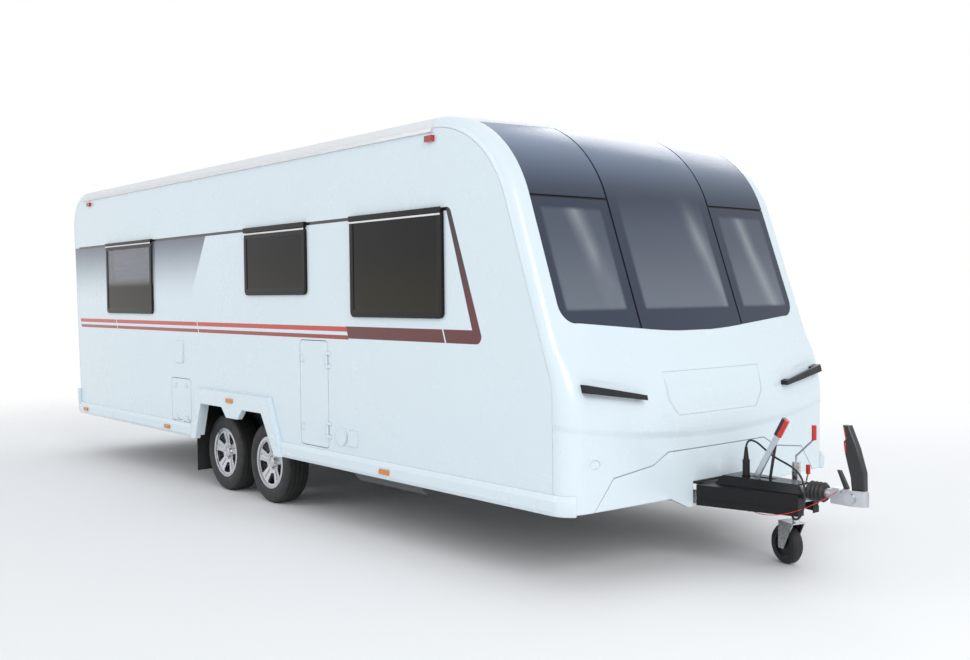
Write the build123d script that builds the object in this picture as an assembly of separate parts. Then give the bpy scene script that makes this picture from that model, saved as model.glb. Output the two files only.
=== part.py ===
from build123d import *
import math
import os

# Twin-axle touring caravan, parked on its four road wheels and its jockey wheel.
# Millimetres. +X runs forward to the tow coupling, +Y to the nearside, +Z up from the ground.
# Lengths are drawn as stations from the foot of the rear wall, and shifted at the end so that
# the origin lies on the ground under the middle of the whole length.

# Clearances
JOINT_GAP = 0.5
SHUT_GAP = 4.0
SHUT_DEPTH = 12.0
FIT_GAP = 0.3
RUNNING_GAP = 5.0
OVERCUT = 1.0

# Body shell
BODY_WIDTH = 2280.0
WALL = 32.0
SILL_Z = 420.0
FLOOR_THICK = 44.0
FLOOR_SETBACK = 40.0
WALL_HEIGHT = 2035.0
REAR_RAKE = 3.0
REAR_TOP_RADIUS = 250.0
FRONT_TOP_RADIUS = 650.0
FRONT_RAKE = 19.4
KNEE_Z = 1100.0
KNEE_RADIUS = 405.0
HALF = BODY_WIDTH / 2
INSIDE = HALF - WALL
FLOOR_TOP = SILL_Z + FLOOR_THICK
ROOF_Z = SILL_Z + WALL_HEIGHT

# Lengths of the body and its running gear
REAR_AXLE_X = 2842.0
TYRE_RADIUS = 296.0
TYRE_GAP = 110.0
AXLE_TO_NOSE = 3096.4
FRONT_AXLE_X = REAR_AXLE_X + 2 * TYRE_RADIUS + TYRE_GAP
NOSE_X = FRONT_AXLE_X + AXLE_TO_NOSE

# Cross-section of the mouldings that close the roof and both ends
ROOF_CROWN = 85.0
ROOF_CORNER = 62.0
ROOF_BOW = 20.0
NOSE_CROWN = 160.0
NOSE_CORNER = 115.0
NOSE_BOW = 42.0
NOSE_FULL_Z = 760.0
SWELL_Z = 1202.0
SWELL_SHARE = 0.1
KNEE_TOP_SHARE = 0.41
KNEE_FOOT_SHARE = 0.84
NOSE_FOOT_Z = SILL_Z - 82.0
AHEAD_X = NOSE_X + 2 * NOSE_CROWN

# Front glazing, seen from the front
GLASS_FOOT_Z = 1270.0
GLAZING_HALF = HALF - 116.0
GLAZING_FOOT_Z = 1318.0
GLAZING_DIP = 22.0
GLAZING_RISE = 40.0
GLAZING_CORNER = 110.0
GLAZING_CORNER_MID = (22.0, 35.0)
GLAZING_CORNER_RISE = 105.0
GLASS_SPLIT_Y = 448.0
GLASS_TOP_LIFT = 231.0
GLASS_TOP_Z = ROOF_Z - FRONT_TOP_RADIUS + GLASS_TOP_LIFT
GLASS_SKIN = 7.0
GLAZING_BACK = 270.0
GLAZING_RECESS = 9.0
GLAZING_FRAME = 7.0
GLAZING_BORDER = 55.0
SIDE_SIGHT_FOOT = 145.0
MIDDLE_SIGHT_FOOT = 165.0
MIDDLE_SIGHT_HEAD = 165.0
PANE_SLIT = 14.0

# Nose: middle panel and blank lamp seats
PANEL_FOOT_Z = 850.0
PANEL_SHOULDER_Z = 935.0
PANEL_HEAD_Z = 1085.0
PANEL_FOOT_HALF = 345.0
PANEL_SHOULDER_HALF = 412.0
PANEL_HEAD_HALF = 425.0
PANEL_DEPTH = 3.0
BLANK_Y = HALF - 172.0
BLANK_Z = 646.0
BLANK_RADII = (36.0, 23.0)
BLANK_DEPTH = 5.0

# Front valance, seen from the front
VALANCE_TOP_Z = SILL_Z + 240.0
VALANCE_STEP_Z = SILL_Z + 180.0
VALANCE_SIDE_Z = SILL_Z + 145.0
VALANCE_EDGE_Z = SILL_Z - 17.0
VALANCE_TOP_HALF = 430.0
VALANCE_STEP_HALF = 550.0
VALANCE_SIDE_HALF = HALF - 300.0
VALANCE_FOOT_HALF = HALF - 165.0
VALANCE_DROP_HALF = 408.0
VALANCE_TONGUE_HALF = 265.0
HITCH_NOTCH_HALF = 229.0
HITCH_NOTCH_Z = SILL_Z + 58.0

# Side windows: rear edge, front edge, foot, head
PARTITION_X = REAR_AXLE_X - 912.0
DOOR_REAR_X = FRONT_AXLE_X + 506.0
DOOR_WIDTH = 640.0
DOOR_FRONT_X = DOOR_REAR_X + DOOR_WIDTH
BEDROOM_WINDOW = (750.0, PARTITION_X - 160.0, 1372.0, ROOF_Z - 470.0)
KITCHEN_WINDOW = (FRONT_AXLE_X - 114.0, FRONT_AXLE_X + 746.0, 1520.0, ROOF_Z - 485.0)
DRESSER_WINDOW = (REAR_AXLE_X - 142.0, FRONT_AXLE_X - 144.0, 1520.0, ROOF_Z - 485.0)
LOUNGE_WINDOW = (DOOR_FRONT_X + 140.0, NOSE_X - 865.4, 1377.0, ROOF_Z - 450.0)
OFFSIDE_WINDOWS = (BEDROOM_WINDOW, KITCHEN_WINDOW, LOUNGE_WINDOW)
NEARSIDE_WINDOWS = (BEDROOM_WINDOW, DRESSER_WINDOW, LOUNGE_WINDOW)
WINDOW_CORNER = 12.0
WINDOW_LAP = 24.0
PANE_PROUD = 14.0

# Roof lights: station of the middle, length, width, height above the roof's crown
ROOF_LIGHTS = (
    (1280.0, 440.0, 440.0, 62.0),
    (REAR_AXLE_X + 178.0, 440.0, 440.0, 62.0),
    (NOSE_X - 1760.4, 760.0, 560.0, 78.0),
)
ROOF_LIGHT_CORNER = 60.0
ROOF_LIGHT_TAPER = 45.0

# Doors and hatches: rear edge, front edge, foot, head
ENTRANCE = (DOOR_REAR_X, DOOR_FRONT_X, SILL_Z + 92.0, ROOF_Z - 165.0)
GAS_LOCKER = (FRONT_AXLE_X + 636.0, FRONT_AXLE_X + 986.0, SILL_Z + 95.0, SILL_Z + 795.0)
CASSETTE = (REAR_AXLE_X - 742.0, REAR_AXLE_X - 382.0, SILL_Z + 95.0, SILL_Z + 430.0)
DOOR_WINDOW = (DOOR_REAR_X + 140.0, DOOR_FRONT_X - 140.0, 1480.0, ROOF_Z - 375.0)
DOOR_CORNER = 45.0
HATCH_CORNER = 28.0
HINGE_OUT = 8.0
HINGE_RADIUS = 6.0
HINGE_LEAF = 34.0
HINGE_EYE = 26.0
ENTRANCE_KNUCKLE = 45.0
HATCH_KNUCKLE = 30.0
ENTRANCE_HINGE_IN = 260.0
GAS_HINGE_IN = 120.0
CASSETTE_HINGE_IN = 80.0
CATCH_OUT = 10.0
DOOR_HANDLE = (22.0, 40.0, 668.0, 150.0)
GAS_CATCH = (18.0, 30.0, 44.0)
CASSETTE_CATCH = (40.0, 30.0, 30.0)

# Locker linings behind the offside hatches: depth from the wall's inner face
GAS_DEPTH = 420.0
CASSETTE_DEPTH = 460.0
LINING = 4.0

# Furniture
KITCHEN_X = (REAR_AXLE_X + 118.0, FRONT_AXLE_X + 606.0)
KITCHEN_DEPTH = 560.0
WORKTOP_Z = FLOOR_TOP + 916.0
PARTITION_TOP_Z = ROOF_Z - 15.0
AISLE_HALF = 330.0
AISLE_TOP_Z = ROOF_Z - 125.0
BED_X = (190.0, PARTITION_X - 30.0)
BED_EDGE_Y = 430.0
BED_Z = FLOOR_TOP + 296.0
SETTEE_X = (DOOR_FRONT_X + 50.0, NOSE_X - 390.4)
SETTEE_INNER_Y = 480.0
SETTEE_Z = FLOOR_TOP + 316.0
PAD_THICK = 140.0
BACKREST_TALL = 400.0

# Skirts and wheel arches
SKIRT_FOOT_Z = SILL_Z - 25.0
SKIRT_HEAD_Z = SILL_Z + 80.0
SKIRT_OUT = 26.0
SKIRT_FOOT_OUT = 16.0
SKIRT_HEAD_OUT = 8.0
SKIRT_ROLL = 22.0
SKIRT_SLOPE = 30.0
SKIRT_WRAP = 58.0
ARCH_TOP_Z = 2 * TYRE_RADIUS + 88.0
ARCH_REAR_X = REAR_AXLE_X - 122.0
ARCH_FRONT_X = FRONT_AXLE_X + 146.0
ARCH_REAR_FOOT_X = REAR_AXLE_X - 227.0
ARCH_FRONT_FOOT_X = FRONT_AXLE_X + 328.0
ARCH_TRIM = 88.0
ARCH_TRIM_HEAD = 118.0
ARCH_TRIM_OUT = 16.0
TOOTH_X = (REAR_AXLE_X + FRONT_AXLE_X) / 2 + 47.0
TOOTH_HALF_TOP = 165.0
TOOTH_HALF_FOOT = 90.0
TOOTH_DROP = 75.0
WHEEL_Y = HALF - 183.0
WHEEL_BOX_SKIN = 4.0
WHEEL_BOX_MARGIN = 52.0
WHEEL_BOX_TOP_Z = ARCH_TOP_Z + 20.0
WHEEL_BOX_INNER_Y = WHEEL_Y - 142.0
MUD_FLAP_X = REAR_AXLE_X - 452.0
MUD_FLAP_THICK = 8.0
MUD_FLAP_FOOT_Z = 105.0
MUD_FLAP_WIDTH = 210.0

# Side marker lamps on the skirts: station, height, how far out their seat is
MARKERS = (
    (186.0, SILL_Z + 23.0, SKIRT_OUT),
    (REAR_AXLE_X - 782.0, SILL_Z + 23.0, SKIRT_OUT),
    (NOSE_X - 1440.4, SILL_Z + 23.0, SKIRT_OUT),
    (TOOTH_X - 25.0, ARCH_TOP_Z + 57.0, SKIRT_OUT + ARCH_TRIM_OUT),
)
MARKER_SIZE = (96.0, 12.0, 30.0)
OUTLINE_REAR_X = 330.0
OUTLINE_FRONT_BACK = 16.0
OUTLINE_DROP = 58.0
OUTLINE_SIZE = (70.0, 22.0, 34.0)

# Awning rails, rear bumper and rear lamps
RAIL_OUT = 12.0
RAIL_TALL = 20.0
BUMPER_TALL = 210.0
BUMPER_OUT = 27.0
REAR_LAMP_Y = (HALF - 270.0, HALF - 130.0)
REAR_LAMP_Z = (700.0, 1230.0)
REAR_LAMP_OUT = 20.0

# Front handles, seen from the front
HANDLE_OUT_Y = HALF - 105.0
HANDLE_OUT_Z = 1034.0
HANDLE_IN_Y = HALF - 514.0
HANDLE_IN_Z = 966.0
HANDLE_OUT_TALL = 42.0
HANDLE_IN_TALL = 26.0
HANDLE_OUT = 46.0
HANDLE_THICK = 16.0
HANDLE_OUT_FOOT = 70.0
HANDLE_IN_FOOT = 40.0

# Wall fittings: rear edge, front edge, foot, head
FLUE = (REAR_AXLE_X - 642.0, REAR_AXLE_X - 502.0, 980.0, 1160.0)
SOCKET_FLAP = (DOOR_FRONT_X + 85.0, DOOR_FRONT_X + 185.0, SILL_Z + 135.0, SILL_Z + 235.0)
FRIDGE_VENTS = (
    (REAR_AXLE_X + 58.0, REAR_AXLE_X + 508.0, 900.0, 1080.0),
    (REAR_AXLE_X + 58.0, REAR_AXLE_X + 508.0, 1250.0, 1430.0),
)
FLUE_CORNER = 20.0
FLAP_CORNER = 8.0
WATER_INLET = (DOOR_FRONT_X, SILL_Z + 188.0)
WATER_INLET_RADIUS = 60.0
VENT_OUT = 12.0
VENT_SLOTS = 5
VENT_SLOT_TALL = 12.0
VENT_SLOT_IN = 40.0
VENT_SLOT_DEPTH = 8.0

# Road wheels and axles
TYRE_WIDTH = 186.0
TREAD_EDGE = 34.0
SHOULDER_DROP = 26.0
SHOULDER_IN = 7.0
BEAD_RADIUS = 177.0
BEAD_WIDTH = 148.0
RIM_FLANGE = 14.0
RIM_WALL = 9.0
SPOKES = 5
HUB_RADIUS = 58.0
HUB_CAP_RADIUS = 35.0
HUB_CAP_Y = 64.0
DISH_HUB_Y = 52.0
DISH_RIM_Y = 74.0
DISH_THICK = 20.0
WINDOW_INNER = 82.0
WINDOW_OUTER = 158.0
WINDOW_INNER_TURN = 13.0
WINDOW_OUTER_TURN = 19.0
WINDOW_ROUND = 9.0
SPOKE_GROOVE = (68.0, 150.0, 16.0, 5.0)
DRUM_RADIUS = 108.0
DRUM_WIDTH = 84.0
DRUM_INNER_Y = WHEEL_Y - 142.0
STUB_RADIUS = 17.5
AXLE_TUBE_RADIUS = 36.0
ARM_LENGTH = 160.0
ARM_THICK = 44.0
ARM_LAP = 5.0
ARM_EYE = 32.0
BACKPLATE = 8.0
BACKPLATE_GAP = 5.0
# Names of the road wheels, station of the axle, side
ROAD_WHEELS = (
    ("rear_offside", REAR_AXLE_X, -1),
    ("front_offside", FRONT_AXLE_X, -1),
    ("rear_nearside", REAR_AXLE_X, 1),
    ("front_nearside", FRONT_AXLE_X, 1),
)

# Chassis and drawbar
RAIL_Y = 500.0
RAIL_WIDTH = 44.0
RAIL_DEPTH = 68.0
RAIL_SKIN = 4.0
RAIL_REAR_X = 520.0
RAIL_FOOT_Z = SILL_Z - RAIL_DEPTH
RAIL_BEND_X = NOSE_X - 940.4
DRAWBAR_X = NOSE_X + 609.6
DRAWBAR_Y = 55.0
DRAWBAR_BLOCK = 90.0
DRAWBAR_BLOCK_LAP = 20.0
CROSS_X = (RAIL_REAR_X + 40.0, REAR_AXLE_X - 492.0, FRONT_AXLE_X + 756.0, RAIL_BEND_X - 20.0)
CROSS_HALF = 20.0
TANK_X = (FRONT_AXLE_X + 956.0, FRONT_AXLE_X + 1706.0)
TANK_OUT_Y = HALF - 220.0
TANK_FOOT_Z = SILL_Z - 150.0
TANK_EASE = 40.0

# Overrun unit, coupling, handles and handbrake
HITCH_Z = SILL_Z + 58.0
HOUSING_HALF = 42.0
HOUSING_REAR_X = DRAWBAR_X - 260.0
HOUSING_FRONT_X = DRAWBAR_X + 130.0
HOUSING_HEAD_Z = SILL_Z + 80.0
GLAND_RADIUS = 10.0
SHAFT_RADIUS = 25.0
SHAFT_SEAT = 40.0
GAITER_FRONT_X = HOUSING_FRONT_X + 95.0
GAITER_RADIUS = 52.0
GAITER_FOLDS = 4
GAITER_FOLD = 9.0
NECK_REAR_X = GAITER_FRONT_X + 45.0
NECK_LENGTH = 120.0
NECK_HALF = 36.0
HEAD_RADIUS = 46.0
TIP_RADIUS = 30.0
TIP_REACH = 40.0
BALL_X = NECK_REAR_X + NECK_LENGTH
COUPLING_FRONT_X = BALL_X + TIP_REACH + TIP_RADIUS
COUPLING_FOOT_Z = HITCH_Z - 42.0
COUPLING_HEAD_Z = HITCH_Z + 37.0
COUPLING_EASE = 8.0
PAD_BOSS_RADIUS = 27.0
PAD_BOSS_OUT = 18.0
BALL_RADIUS = 25.0
SOCKET_CLEARANCE = 0.25
SOCKET_DEPTH = 26.0
# Stabiliser and release handles: distance ahead of the ball and above the coupling's head
STABILISER_OUTLINE = (
    (-12, 0), (58, 0), (56, 90), (20, 210), (-28, 321), (-62, 321),
    (-48, 250), (-58, 236), (-52, 190), (-34, 120), (-18, 60),
)
STABILISER_HALF = 21.0
STABILISER_EASE = 5.0
RELEASE_OUTLINE = ((-62, 0), (-34, 0), (-80, 89), (-100, 89))
RELEASE_HALF = 9.0
RELEASE_EASE = 2.0
HANDBRAKE_X = DRAWBAR_X - 200.0
HANDBRAKE_RUN = 185.0
HANDBRAKE_RISE = 325.0
HANDBRAKE_WIDE = 34.0
HANDBRAKE_THICK = 14.0
GRIP_SHARE = 0.72
GRIP_WIDE = 42.0
GRIP_THICK = 28.0
STRUT_X = HANDBRAKE_X + 85.0
STRUT_RADIUS = 8.0
STRUT_SHARE = 0.68

# Drawbar cover
COVER_REAR_X = NOSE_X + NOSE_CROWN + 21.6
COVER_FRONT_X = HOUSING_FRONT_X - 8.0
COVER_REAR_HALF = 231.0
COVER_FRONT_HALF = 96.0
COVER_FOOT_Z = SILL_Z - 70.0
COVER_EDGE_Z = SILL_Z + 42.0
COVER_SKIN = 5.0
COVER_GROOVE = 2.5
COVER_GROOVE_Z = (SILL_Z - 36.0, SILL_Z - 24.0)
COVER_RIBS = (COVER_REAR_X + 138.0, COVER_REAR_X + 278.0)
SPINE_REAR_HALF = 120.0
SPINE_FRONT_HALF = 70.0
SPINE_RISE = 46.0
SPINE_SLOPE = 30.0
SPINE_SETBACK = 40.0
SPINE_LIP = 4.0
COVER_ROOM = 2.0
CLAMP_ROOM = 12.0
SLOT_ROOM = 9.0

# Jockey wheel
JOCKEY_X = DRAWBAR_X - 93.0
JOCKEY_Y = 212.0
JOCKEY_TURN = -18.0
JOCKEY_TRAIL = 80.0
JOCKEY_RADIUS = 110.0
JOCKEY_WIDTH = 62.0
JOCKEY_TREAD_EDGE = 14.0
JOCKEY_SHOULDER = 11.0
JOCKEY_DISC = 10.0
JOCKEY_TYRE_INNER = 64.0
JOCKEY_SIDE_GAP = 6.0
JOCKEY_PIN_RADIUS = 8.0
JOCKEY_CROWN_Z = 2 * JOCKEY_RADIUS + 22.0
JOCKEY_TUBE_RADIUS = 24.0
JOCKEY_TUBE_FOOT_Z = JOCKEY_CROWN_Z + 20.0
JOCKEY_TUBE_HEAD_Z = SILL_Z + 157.0
JOCKEY_CAP = 10.0
JOCKEY_LEG_RADIUS = 20.0
FORK_PLATE = 6.0
FORK_END = 22.0
FORK_FRONT = 24.0
CLAMP_HALF = 34.0
CLAMP_SKIN = 9.0
CLAMP_IN = 8.0
CLAMP_RISE = 6.0
CRANK_RADIUS = 6.0
CRANK_RISE = 40.0
KNOB_REACH = 111.0
KNOB_RISE = 131.0
KNOB_RADIUS = 13.0
KNOB_LENGTH = 80.0
CLAMP_ARM_REACH = 40.0
CLAMP_ARM_RISE = 100.0
CLAMP_ARM_RADIUS = 5.0
CLAMP_STUB = 14.0
CLAMP_STUB_DROP = 20.0
CLAMP_KNOB_RADIUS = 12.0
CLAMP_KNOB_LENGTH = 50.0

# Corner steadies: name, pivot station, way the folded leg points
STEADIES = (("rear", 960.0, -1), ("front", NOSE_X - 1080.4, 1))
STEADY_Y = HALF - 340.0
STEADY_LENGTH = 420.0
STEADY_WIDTH = 46.0
STEADY_DEPTH = 26.0
STEADY_PIVOT_Z = SILL_Z - 38.0
STEADY_PIN = 7.0
STEADY_PAD = (16.0, 74.0, 34.0, 22.0)
BRACKET_HALF = 24.0
BRACKET_PLATE = 5.0
BRACKET_DROP = 18.0

# Free cables, as points of station, width and height
PLUG_CABLE = 11.0
PLUG_ROUTE = (
    (6996, -20, 668), (6999, -17, 692), (7015, -4, 706), (7042, 17, 692), (7073, 34, 660), (7112, 44, 629),
    (7161, 46, 607), (7215, 36, 593), (7269, 14, 580), (7320, -17, 565), (7366, -54, 545), (7403, -88, 514),
    (7427, -118, 470), (7435, -138, 421), (7421, -140, 374), (7388, -126, 343), (7346, -98, 336),
    (7314, -66, 350), (7301, -39, 375), (7300, -36, 404),
)
BREAKAWAY_CABLE = 4.0
BREAKAWAY_ROUTE = (
    (7095, -112, 345), (7134, -122, 339), (7184, -130, 338), (7236, -131, 344), (7288, -125, 354),
    (7338, -116, 369), (7388, -106, 390), (7436, -94, 414), (7480, -81, 440), (7520, -69, 466),
    (7555, -61, 491), (7577, -57, 509),
)
BEND_SHARE = 0.45
CABLE_SEAT = 1.2
CLIP_LENGTH = 18.0
CLIP_HALF = 8.0
CLIP_DROP = 7.0
LUG_SEAT = 1.6
LUG_LENGTH = 12.0
LUG_OUT = 7.0
LUG_DROP = 8.0
PLUG_RADIUS = 20.0
PLUG_BODY = 84.0
PLUG_NECK = 16.0
PLUG_TIP = 7.7
PLUG_HOLDER_RADIUS = 25.0
PLUG_HOLDER_RISE = 5.0


def normal(heading):
    """Outward normal, in X and Z, of the body profile where it runs at this heading."""
    turn = math.radians(heading)
    return -math.sin(turn), math.cos(turn)


def along(mark, distance):
    """Mark further on along a straight stretch of the body profile."""
    x, z, heading = mark
    turn = math.radians(heading)
    return x + distance * math.cos(turn), z + distance * math.sin(turn), heading


def centre(mark, radius):
    """Centre of a bend of the body profile that starts at a mark."""
    x, z, heading = mark
    nx, nz = normal(heading)
    return x - radius * nx, z - radius * nz


def turned(mark, radius, turn):
    """Mark at the end of a bend that turns down towards the front."""
    cx, cz = centre(mark, radius)
    nx, nz = normal(mark[2] - turn)
    return cx + radius * nx, cz + radius * nz, mark[2] - turn


def slope_mark(z):
    """Mark on the raked straight of the front, at a height."""
    return along(BROW, (BROW[1] - z) / math.cos(FRONT_LEAN))


def nose_row(mark, share):
    """Mark with its section's crown, corner and bow, a share of the way from the roof's to the nose's."""
    crown = ROOF_CROWN + share * (NOSE_CROWN - ROOF_CROWN)
    corner = ROOF_CORNER + share * (NOSE_CORNER - ROOF_CORNER)
    return mark, crown, corner, ROOF_BOW + share * (NOSE_BOW - ROOF_BOW)


# Body profile, as marks of station, height and heading, from the rear foot over the roof to the nose
REAR_TURN = 90.0 + REAR_RAKE
FRONT_TURN = 90.0 - FRONT_RAKE
FRONT_LEAN = math.radians(FRONT_RAKE)
REAR_RISE = ROOF_Z - REAR_TOP_RADIUS * (1 + math.sin(math.radians(REAR_RAKE))) - SILL_Z
REAR_RUN = REAR_RISE / math.cos(math.radians(REAR_RAKE))
SLOPE_FALL = ROOF_Z - FRONT_TOP_RADIUS * (1 - math.sin(FRONT_LEAN)) - KNEE_Z
SLOPE_REACH = FRONT_TOP_RADIUS * math.cos(FRONT_LEAN) + SLOPE_FALL * math.tan(FRONT_LEAN)
ROOF_FRONT_X = NOSE_X - SLOPE_REACH - KNEE_RADIUS * (1 - math.cos(FRONT_LEAN))
REAR_FOOT = (0.0, SILL_Z, REAR_TURN)
REAR_SHOULDER = along(REAR_FOOT, REAR_RUN)
ROOF_REAR = turned(REAR_SHOULDER, REAR_TOP_RADIUS, REAR_TURN)
ROOF_FRONT = (ROOF_FRONT_X, ROOF_Z, 0.0)
BROW = turned(ROOF_FRONT, FRONT_TOP_RADIUS, FRONT_TURN)
GLASS_FOOT = slope_mark(GLASS_FOOT_Z)
SWELL = slope_mark(SWELL_Z)
KNEE_TOP = slope_mark(KNEE_Z)
KNEE_FOOT = turned(KNEE_TOP, KNEE_RADIUS, FRONT_RAKE)
NOSE_FULL = (NOSE_X, NOSE_FULL_Z, -90.0)
NOSE_FOOT = (NOSE_X, SILL_Z, -90.0)
GLAZING_REAR_X = ROOF_FRONT_X + GLAZING_BACK

REAR_MOST_X = REAR_SHOULDER[0] + ROOF_CROWN * normal(REAR_TURN)[0]
STATION_MID = (REAR_MOST_X + COUPLING_FRONT_X) / 2

# Nose sections: mark, share of the swell from the roof's section to the full nose
NOSE_SECTIONS = [nose_row(mark, share) for mark, share in (
    (GLASS_FOOT, 0.0),
    (SWELL, SWELL_SHARE),
    (KNEE_TOP, KNEE_TOP_SHARE),
    (KNEE_FOOT, KNEE_FOOT_SHARE),
    (NOSE_FULL, 1.0),
)]


def save(node, *shapes):
    """Write one node, moved from stations to its own frame."""
    solids = [solid for shape in shapes for solid in shape.solids()]
    whole = Compound(solids) if len(solids) > 1 else solids[0]
    export_step(Pos(-STATION_MID, 0, 0) * whole, "parts/" + node + ".step")


def block(x0, x1, y0, y1, z0, z1):
    """Box between two corners."""
    return Pos((x0 + x1) / 2, (y0 + y1) / 2, (z0 + z1) / 2) * Box(x1 - x0, y1 - y0, z1 - z0)


def side_prism(face, y0, y1):
    """Solid between two widths, from a face drawn in X and Z."""
    return extrude(Plane(origin=(0, y1, 0), x_dir=(1, 0, 0), z_dir=(0, -1, 0)) * face, amount=y1 - y0)


def front_prism(face, x0, x1):
    """Solid between two stations, from a face drawn in Y and Z."""
    return extrude(Plane(origin=(x0, 0, 0), x_dir=(0, 1, 0), z_dir=(1, 0, 0)) * face, amount=x1 - x0)


def plan_prism(face, z0, z1):
    """Solid between two heights, from a face drawn in X and Y."""
    return extrude(Pos(0, 0, z0) * face, amount=z1 - z0)


def rounded(x0, x1, z0, z1, radius):
    """Rounded rectangle between two corners."""
    return Pos((x0 + x1) / 2, (z0 + z1) / 2) * RectangleRounded(x1 - x0, z1 - z0, radius)


def polygon(*points):
    """Face inside a closed run of straight lines."""
    return make_face(Polyline(*points, close=True))


def mirrored(*points):
    """Face symmetric about the middle, from the points of its +Y half."""
    other = [(-y, z) for y, z in reversed(points)]
    return polygon(*points, *other)


def rod(start, end, radius):
    """Round bar between two points."""
    run = Vector(end) - Vector(start)
    return extrude(Plane(origin=start, z_dir=run) * Circle(radius), amount=run.length)


def flat_bar(start, end, thick, wide, corner):
    """Rounded flat bar between two points of the middle plane, thick across it."""
    run = Vector(end) - Vector(start)
    return extrude(Plane(origin=start, x_dir=(0, 1, 0), z_dir=run) * RectangleRounded(thick, wide, corner),
                   amount=run.length)


def other_side(shape):
    """The same piece on the other side."""
    return mirror(shape, about=Plane.XZ)


def both(shapes):
    """Pieces of the nearside together with those of the offside."""
    return [*shapes, *[other_side(shape) for shape in shapes]]


def section_plane(mark):
    """Plane square to the body profile at a mark: local x is Y, local y is outward."""
    x, z, heading = mark
    turn = math.radians(heading)
    return Plane(origin=(x, 0, z), x_dir=(0, 1, 0), z_dir=(math.cos(turn), 0, math.sin(turn)))


def section_outline(crown, corner, bow, depth):
    """Face under a moulding's outer line, sunk by a depth."""
    half = HALF - depth
    edge = crown - bow - depth
    face = make_face([
        Line((-half, JOINT_GAP), (-half, edge)),
        ThreePointArc((-half, edge), (0, crown - depth), (half, edge)),
        Line((half, edge), (half, JOINT_GAP)),
        Line((half, JOINT_GAP), (-half, JOINT_GAP)),
    ])
    shoulders = [v for v in face.vertices() if v.Y > edge - OVERCUT]
    return fillet(shoulders, corner - depth)


def section(mark, crown, corner, bow, outer, inner):
    """Face of a moulding between two depths, square to the body profile at a mark."""
    face = section_outline(crown, corner, bow, outer) - section_outline(crown, corner, bow, inner)
    return section_plane(mark) * face


def roof_section(mark, outer=0.0, inner=WALL):
    """Face of the roof's and both ends' common section."""
    return section(mark, ROOF_CROWN, ROOF_CORNER, ROOF_BOW, outer, inner)


def bend(mark, radius, turn, outer=0.0, inner=WALL):
    """Moulding round a bend of the body profile."""
    cx, cz = centre(mark, radius)
    return revolve(roof_section(mark, outer, inner), Axis((cx, 0, cz), (0, 1, 0)), turn)


def front_upper(outer=0.0, inner=WALL):
    """Upper front moulding between two depths: the brow and the raked straight."""
    brow = bend(ROOF_FRONT, FRONT_TOP_RADIUS, FRONT_TURN, outer, inner)
    run = (BROW[1] - GLASS_FOOT_Z) / math.cos(FRONT_LEAN)
    return brow + extrude(roof_section(BROW, outer, inner), amount=run)


def front_lower(outer=0.0, inner=WALL):
    """Lower front moulding between two depths: the nose that swells below the glass."""
    sections = [section(*row, outer, inner) for row in NOSE_SECTIONS]
    nose = loft(sections) + extrude(sections[-1], amount=NOSE_FULL_Z - NOSE_FOOT_Z)
    return nose - side_prism(wall_outline(0.0), -2 * HALF, 2 * HALF)


def corner_centre():
    """Station and width of the axis of the nose's lower corner bend."""
    bow_radius = (HALF ** 2 + NOSE_BOW ** 2) / (2 * NOSE_BOW)
    y = HALF - NOSE_CORNER
    reach = math.sqrt((bow_radius - NOSE_CORNER) ** 2 - y ** 2)
    return NOSE_X + NOSE_CROWN - bow_radius + reach, y


def wall_outline(gap=JOINT_GAP):
    """Side wall's outline in X and Z, a gap inside the body profile."""
    def inset(mark):
        nx, nz = normal(mark[2])
        return mark[0] - gap * nx, mark[1] - gap * nz

    def arc(mark, radius, turn):
        return ThreePointArc(inset(mark), inset(turned(mark, radius, turn / 2)),
                             inset(turned(mark, radius, turn)))

    return make_face([
        Line(inset(REAR_FOOT), inset(REAR_SHOULDER)),
        arc(REAR_SHOULDER, REAR_TOP_RADIUS, REAR_TURN),
        Line(inset(ROOF_REAR), inset(ROOF_FRONT)),
        arc(ROOF_FRONT, FRONT_TOP_RADIUS, FRONT_TURN),
        Line(inset(BROW), inset(KNEE_TOP)),
        arc(KNEE_TOP, KNEE_RADIUS, FRONT_RAKE),
        Line(inset(KNEE_FOOT), inset(NOSE_FOOT)),
        Line(inset(NOSE_FOOT), inset(REAR_FOOT)),
    ])


def arch_face(margin, head):
    """Wheel arch opening, grown by a margin at its ends and head."""
    foot = SKIRT_FOOT_Z - OVERCUT
    return polygon(
        (ARCH_REAR_FOOT_X - margin, foot),
        (ARCH_REAR_X - margin, ARCH_TOP_Z + head),
        (ARCH_FRONT_X + margin, ARCH_TOP_Z + head),
        (ARCH_FRONT_FOOT_X + margin, foot),
    )


def grown(row, margin):
    """Corners of an opening, grown all round by a margin."""
    return row[0] - margin, row[1] + margin, row[2] - margin, row[3] + margin


def wall_cut(face):
    """Cutter right through the nearside wall, from a face drawn in X and Z."""
    return side_prism(face, INSIDE - OVERCUT, HALF + OVERCUT)


def side_wall(windows, hatches):
    """One side wall with its openings, on the nearside."""
    wall = side_prism(wall_outline(), INSIDE, HALF)
    for row in windows:
        wall -= wall_cut(rounded(*grown(row, -WINDOW_LAP), WINDOW_CORNER))
    for row, corner in hatches:
        wall -= wall_cut(rounded(*grown(row, SHUT_GAP), corner + SHUT_GAP))
    return wall - wall_cut(arch_face(0, 0))


def window_pane(row):
    """Pane that laps an opening of the nearside wall."""
    return side_prism(rounded(*row, WINDOW_CORNER + WINDOW_LAP), HALF, HALF + PANE_PROUD)


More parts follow.
